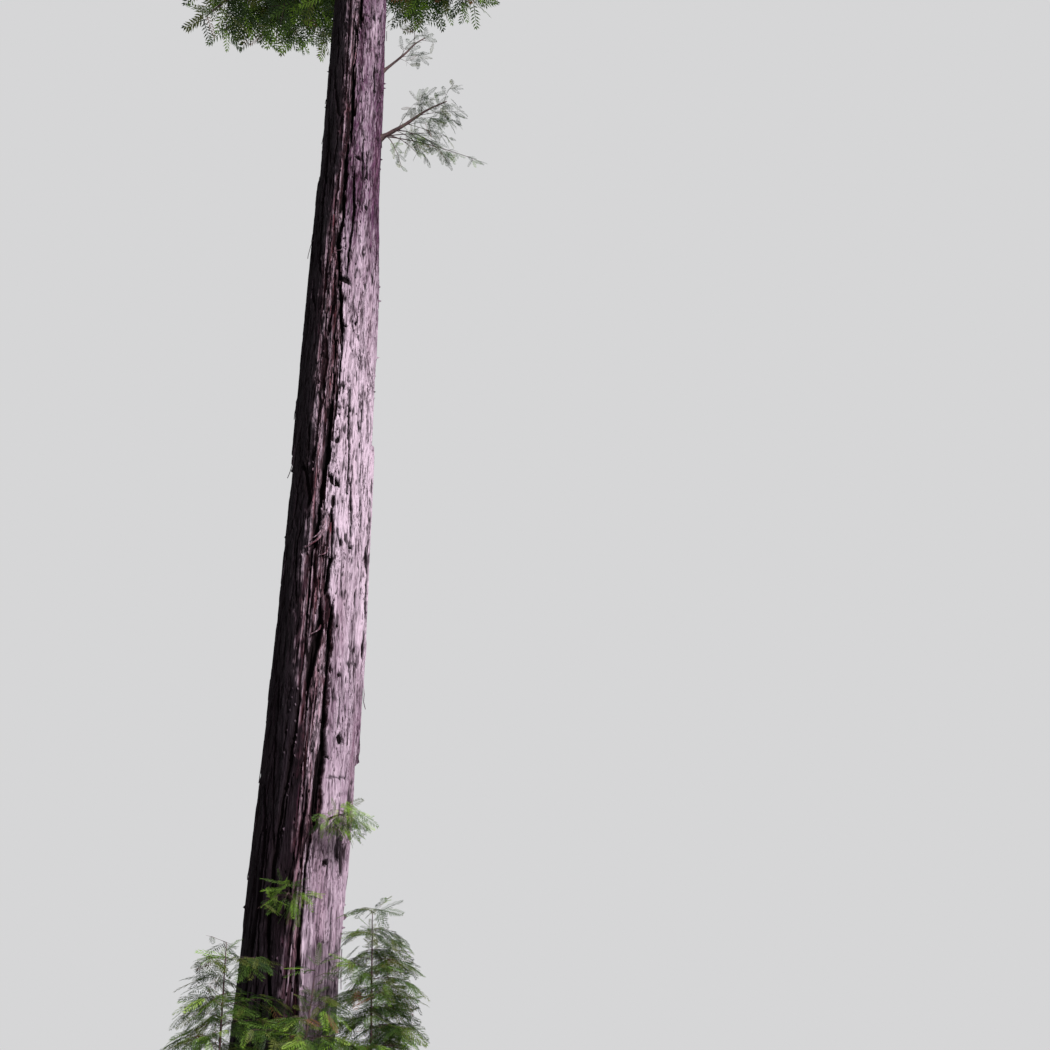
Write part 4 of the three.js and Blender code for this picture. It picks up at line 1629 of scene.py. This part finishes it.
@dataclass
class LowGrowth:
    """The two side limbs, the shoots round the foot, and the tufts low on the bole."""

    grower: Grower
    stems: TubePile
    skin: LimbSkin = LimbSkin(1.8, 9.0, 0.18)
    taper: float = 0.9
    collar_length: float = 0.07
    limbs: tuple[StemForm, ...] = (
        StemForm(0.036, 0.008, 0.9, (0.03, 0.008), 0.1), StemForm(0.024, 0.008, 0.9, (0.03, 0.008), 0.1))
    shoot: StemForm = StemForm(0.026, 0.004, 0.8, (0.02, 0.004), 0.08)
    tuft: StemForm = StemForm(0.012, 0.004, 0.6, (0.01, 0.004))
    branch_start: float = 0.25
    tip_depth: float = 0.12
    tip_share: float = 0.74
    knot_reaches: tuple[tuple[float, float, float], ...] = (
        (1.45, 0.42, -6.0), (0.62, 0.7, -38.0), (0.8, 0.12, -22.0), (0.42, 0.95, -50.0))
    knot_radius: float = 0.01
    shoots: int = 3
    top_twigs: int = 14
    top_reach: tuple[float, float] = (0.12, 0.05)
    tufts: int = 2

    def stem(self, line: np.ndarray, form: StemForm) -> None:
        """Adds a tapering stem with an uneven skin.

        Args:
            line: The stem's middle line.
            form: Its sizes.
        """
        radii = form.tip + (form.root - form.tip) * (1 - np.linspace(0, 1, len(line))) ** self.taper
        radii = radii * (1 + form.collar * np.exp(-walk(line) / self.collar_length))
        self.stems.add_rough(self.skin, line, radii, line[0, 2])

    def side_limbs(self) -> None:
        """Grows the two thin side limbs, and the few fine twigs that leave the first one's knot."""
        for number, form in enumerate(self.limbs, start=1):
            shape = MassShape(f"side_limb_foliage_{number}")
            near = middle_line(f"side_limb_{number}", 3)
            ahead = unit(near[-1] - near[0])
            steps = near[-1] + ahead * np.linspace(0.1, 2.0, 60)[:, None]
            tip = [step for step in steps if shape.beyond(step) < -self.tip_depth][-1]
            middle = (near[-1] + tip) / 2 + UP * 0.05
            line = smooth_path(26, near[0] - ahead * form.buried, near[0], near[-1], middle, tip)
            self.stem(line, form)
            self.grower.take_up(SIDE_RULE, shape)
            self.grower.mass(line, self.branch_start, form.limb)
            if number == 1:
                self.knot_twigs(near[0])

    def knot_twigs(self, knot: np.ndarray) -> None:
        """Grows fine twigs from a knot, each by its reach, its drop and its heading in degrees.

        Args:
            knot: Where the limb leaves the bark.
        """
        self.grower.take_up(KNOT_RULE, OpenRoom())
        share = np.linspace(0, 1, 9)[:, None]
        for reach, drop, turn in self.knot_reaches:
            self.grower.branch(knot + tilted(turn) * reach * share - UP * drop * share**1.6, self.knot_radius)

    def foot_shoots(self) -> None:
        """Grows the leafy shoots round the foot."""
        for number in range(1, self.shoots + 1):
            shape = MassShape(f"foot_shoot_foliage_{number}")
            near = middle_line(f"foot_shoot_{number}", 5)
            root = near[0] - unit(near[1] - near[0]) * self.shoot.buried
            tip = shape.toward(shape.corners[:, 2], self.tip_share)
            line = smooth_path(44, root, *near, (near[-1] + tip) / 2, tip)
            self.stem(line, self.shoot)
            self.grower.take_up(SHOOT_TIP_RULE, shape)
            self.grower.spiral(line[30:], self.top_twigs, self.top_reach)
            walked = walk(line)
            enter = np.interp(near[-1][2], line[:, 2], walked) / walked[-1]
            self.grower.take_up(SHOOT_RULE, shape)
            self.grower.mass(line, enter - 0.05, self.shoot.limb)

    def bole_sprays(self) -> None:
        """Grows the tufts that sprout from the bark."""
        for number in range(1, self.tufts + 1):
            shape = MassShape(f"bole_spray_{number}")
            out = unit(shape.middle - np.array([float(FORM.axis_x(shape.middle[2])), 0, shape.middle[2]]))
            root = shape.middle - out * 0.9 * float(np.linalg.norm(shape.half[:2]) * 0.5)
            line = smooth_path(14, root, shape.middle, shape.middle + out * 0.1 - UP * 0.04)
            self.stem(line, self.tuft)
            self.grower.take_up(BOLE_RULE, shape)
            self.grower.mass(line, self.branch_start, self.tuft.limb)

    def build(self) -> None:
        """Grows all that is low on the tree."""
        self.side_limbs()
        self.foot_shoots()
        self.bole_sprays()


@dataclass(frozen=True)
class PeelingStrip:
    """A torn strip of bark that hangs on at one end: heading in degrees, sizes in metres, and sway in radians."""

    heading: float
    height: float
    length: float
    width: float
    lift: float
    sway: float


@dataclass
class PeelingBark:
    """All the torn strips, those that show clearly and a scatter of small ones."""

    draw: np.random.Generator
    clear: tuple[PeelingStrip, ...] = (
        PeelingStrip(-91, 8.34, 0.38, 0.04, 0.10, -0.20),
        PeelingStrip(-92, 8.42, 0.3, 0.025, 0.07, -0.15),
        PeelingStrip(-86, 8.12, 0.16, 0.03, 0.06, -0.1),
        PeelingStrip(-85, 8.3, 0.5, 0.025, 0.02, 0.02),
        PeelingStrip(-88, 7.1, 0.16, 0.028, 0.07, -0.12),
        PeelingStrip(-93, 12.98, 0.1, 0.03, 0.06, -0.17),
        PeelingStrip(-172, 13.35, 0.5, 0.035, 0.05, 0.02),
        PeelingStrip(-176, 9.6, 0.4, 0.03, 0.05, 0.02),
        PeelingStrip(-8, 6.7, 0.7, 0.035, 0.06, 0.03),
        PeelingStrip(-80, 3.55, 0.5, 0.04, 0.03, 0.03),
    )
    scatter: int = 90
    scatter_sizes: tuple[tuple[float, float], ...] = (
        (-180, 180), (1.2, 18.5), (0.12, 0.5), (0.012, 0.035), (0.004, 0.02))
    scatter_sway: float = 0.02
    steps: int = 9
    thickness: float = 0.006

    def strip(self, shape: PeelingStrip) -> tuple[np.ndarray, np.ndarray]:
        """Makes one strip as a thin closed slat that follows the bark and curls away.

        Args:
            shape: The strip's place and sizes.

        Returns:
            Corner places and three-cornered faces.
        """
        share = np.linspace(0, 1, self.steps)
        angle = math.radians(shape.heading) + shape.sway * share**2 / 0.5
        z = shape.height + shape.length * (0.5 - share)
        offset = RELIEF.work_out(Spots(angle, z, FORM.radius(z)))["offset"]
        girth = FORM.radius(z) + FORM.flare(angle, z) + np.maximum(offset, 0.0) + shape.lift * share**2.2
        out = np.stack([np.cos(angle), np.sin(angle), np.zeros(self.steps)], axis=1)
        middle = np.stack([FORM.axis_x(z), np.zeros(self.steps), z], axis=1) + out * girth[:, None]
        half = np.cross(UP, out) * (shape.width / 2 * np.sin(np.pi * (0.12 + 0.8 * share)) ** 0.6)[:, None]
        thick = out * self.thickness
        rings = np.stack([middle - half, middle - half * 0.4 + thick, middle + half * 0.4 + thick,
                          middle + half, middle - thick * 0.5], axis=1)
        sides = rings.shape[1]
        end = np.array([[0, k, k + 1] for k in range(1, sides - 1)])
        faces = [tube_skin(self.steps, sides, turned=True), end, end[:, ::-1] + (self.steps - 1) * sides]
        return rings.reshape(-1, 3), np.concatenate(faces)

    def build(self, material: bpy.types.Material) -> None:
        """Joins and dresses all the strips.

        Args:
            material: Their finish.
        """
        strips = list(self.clear)
        for _ in range(self.scatter):
            sizes = [self.draw.uniform(*ends) for ends in self.scatter_sizes]
            strips.append(PeelingStrip(*sizes, self.draw.normal(0, self.scatter_sway)))
        vertices, faces = zip(*(self.strip(shape) for shape in strips))
        faces = [corners + number * len(vertices[0]) for number, corners in enumerate(faces)]
        piece = mesh_piece("peeling_bark_strips", vertices, faces, material)
        x, y, z = np.concatenate(vertices).T
        angle = np.arctan2(y, x - FORM.axis_x(z))
        bark = RELIEF.work_out(Spots(angle, z, FORM.radius(z)))
        # The strips get less of the painted shade, in the furrows and on the dark side, and are paler
        bark["furrow_shade"] = 0.2 * bark["furrow_shade"]
        bark["pale"] = np.minimum(bark["pale"] + 0.25, 1.0)
        bark["painted_shade"] = 0.8 * bark["painted_shade"]
        mark(piece, bark)
        hand_over(piece, [])


@dataclass(frozen=True)
class SoftSun:
    """One soft far light: its heading from +X, its height and how wide it is are in degrees."""

    name: str
    heading: float
    height: float
    strength: float
    width: float
    colour: tuple[float, float, float]

    def build(self) -> None:
        """Adds the light."""
        light = bpy.data.lights.new(self.name, "SUN")
        light.energy = self.strength
        light.angle = math.radians(self.width)
        light.color = self.colour
        lamp = bpy.data.objects.new(self.name, light)
        rise = math.radians(self.height)
        source = Vector(tilted(self.heading) * math.cos(rise) + UP * math.sin(rise))
        lamp.rotation_euler = source.to_track_quat("Z", "Y").to_euler()
        bpy.context.scene.collection.objects.link(lamp)


@dataclass
class Studio:
    """Pale floor and world, soft lights, and the camera at the photograph's viewpoint."""

    photo_side: int = 1050
    focal_pixels: float = 1130.0
    sensor: float = 36.0
    eye: tuple[float, float, float] = (0.0, -12.5, 1.6)
    pitch: float = 30.09
    yaw: float = 11.95
    roll: float = -1.79
    sight: float = 600.0
    floor_half: float = 1500.0
    floor_drop: float = 0.002
    floor_colour: tuple = linear(184, 183, 181)
    backdrop_colour: tuple = linear(214, 214, 215)
    sky_colour: tuple = linear(214, 218, 224)
    sky_light: float = 0.12
    suns: tuple[SoftSun, ...] = (
        SoftSun("key_light", -51, 27, 4.4, 10, (1.0, 0.985, 0.985)),
        SoftSun("back_light", 72, 32, 1.6, 30, (0.95, 0.97, 1.0)),
        SoftSun("side_light", 165, 30, 0.5, 40, (0.95, 0.96, 1.0)),
    )

    def camera(self) -> None:
        """Sets the camera low on the forest floor, looking up past the trunk."""
        lens = bpy.data.cameras.new("camera")
        lens.sensor_width = self.sensor
        lens.lens = self.sensor * self.focal_pixels / self.photo_side
        lens.clip_end = self.sight
        camera = bpy.data.objects.new("camera", lens)
        place = Matrix.Translation(self.eye)
        for angle, axis in ((-self.yaw, "Z"), (90 + self.pitch, "X"), (self.roll, "Z")):
            place = place @ Matrix.Rotation(math.radians(angle), 4, axis)
        camera.matrix_world = place
        bpy.context.scene.collection.objects.link(camera)
        bpy.context.scene.camera = camera

    def floor(self) -> None:
        """Lays the pale floor."""
        deselect_all()
        bpy.ops.mesh.primitive_plane_add(size=2 * self.floor_half, location=(0, 0, -self.floor_drop))
        floor = bpy.context.object
        floor.name = "studio_floor"
        floor.data.materials.append(Board("floor_finish", 0.9).dress(self.floor_colour))
        floor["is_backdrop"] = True

    def sky(self) -> None:
        """Fills the world with an even light, in front of a pale backdrop."""
        world = bpy.data.worlds.new("studio_world")
        world.use_nodes = True
        tree = world.node_tree
        light = tree.nodes["Background"]
        light.inputs["Color"].default_value = self.sky_colour
        light.inputs["Strength"].default_value = self.sky_light
        backdrop = tree.nodes.new("ShaderNodeBackground")
        backdrop.inputs["Color"].default_value = self.backdrop_colour
        path = tree.nodes.new("ShaderNodeLightPath")
        mixed = tree.nodes.new("ShaderNodeMixShader")
        sources = (path.outputs["Is Camera Ray"], light.outputs[0], backdrop.outputs[0])
        for source, target in zip(sources, mixed.inputs):
            tree.links.new(source, target)
        tree.links.new(mixed.outputs[0], tree.nodes["World Output"].inputs["Surface"])
        bpy.context.scene.world = world

    def build(self) -> None:
        """Sets up the whole studio."""
        bpy.context.scene.view_settings.view_transform = "Standard"
        self.floor()
        self.sky()
        for sun in self.suns:
            sun.build()
        self.camera()


def main() -> None:
    """Builds the tree and its studio."""
    logging.basicConfig(level=logging.INFO, format="%(name)s %(message)s")
    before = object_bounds()
    draw = np.random.default_rng(SEED)

    bark, limb_finish = TrunkBark().material(), LimbBark().material()
    Trunk().build(bark)
    PeelingBark(draw).build(bark)

    limits = np.array(before[0]) - TIP_MARGIN, np.array(before[1]) + TIP_MARGIN
    boughs, branches, twigs = TubePile(12), TubePile(5), TubePile(3)
    crown_sprays = SprayPile(Family.CROWN, Slot.NEEDLES)
    Crown(Grower(draw, branches, twigs, crown_sprays, *limits), boughs).build()

    stems, low_branches, low_twigs = TubePile(10), TubePile(5), TubePile(3)
    low_sprays = SprayPile(Family.LOW, Slot.YOUNG)
    LowGrowth(Grower(draw, low_branches, low_twigs, low_sprays, *limits), stems).build()

    stem_nodes = ["side_limb_1", "side_limb_2", "foot_shoot_1", "foot_shoot_2", "foot_shoot_3"]
    for name, pile, nodes in (
            ("bough_bark", boughs, nodes_of("bough_")),
            ("stem_bark", stems, stem_nodes),
            ("crown_branches", branches, []),
            ("crown_twigs", twigs, []),
            ("low_branches", low_branches, []),
            ("low_twigs", low_twigs, [])):
        hand_over(pile.piece(name, limb_finish), nodes)
    low_masses = [*nodes_of("side_limb_foliage_"), *nodes_of("foot_shoot_foliage_"), *nodes_of("bole_spray_")]
    for pile, nodes in ((crown_sprays, nodes_of("foliage_")), (low_sprays, low_masses)):
        for piece in pile.pieces(draw):
            hand_over(piece, nodes)

    Studio().build()


if __name__ == "__main__":
    main()
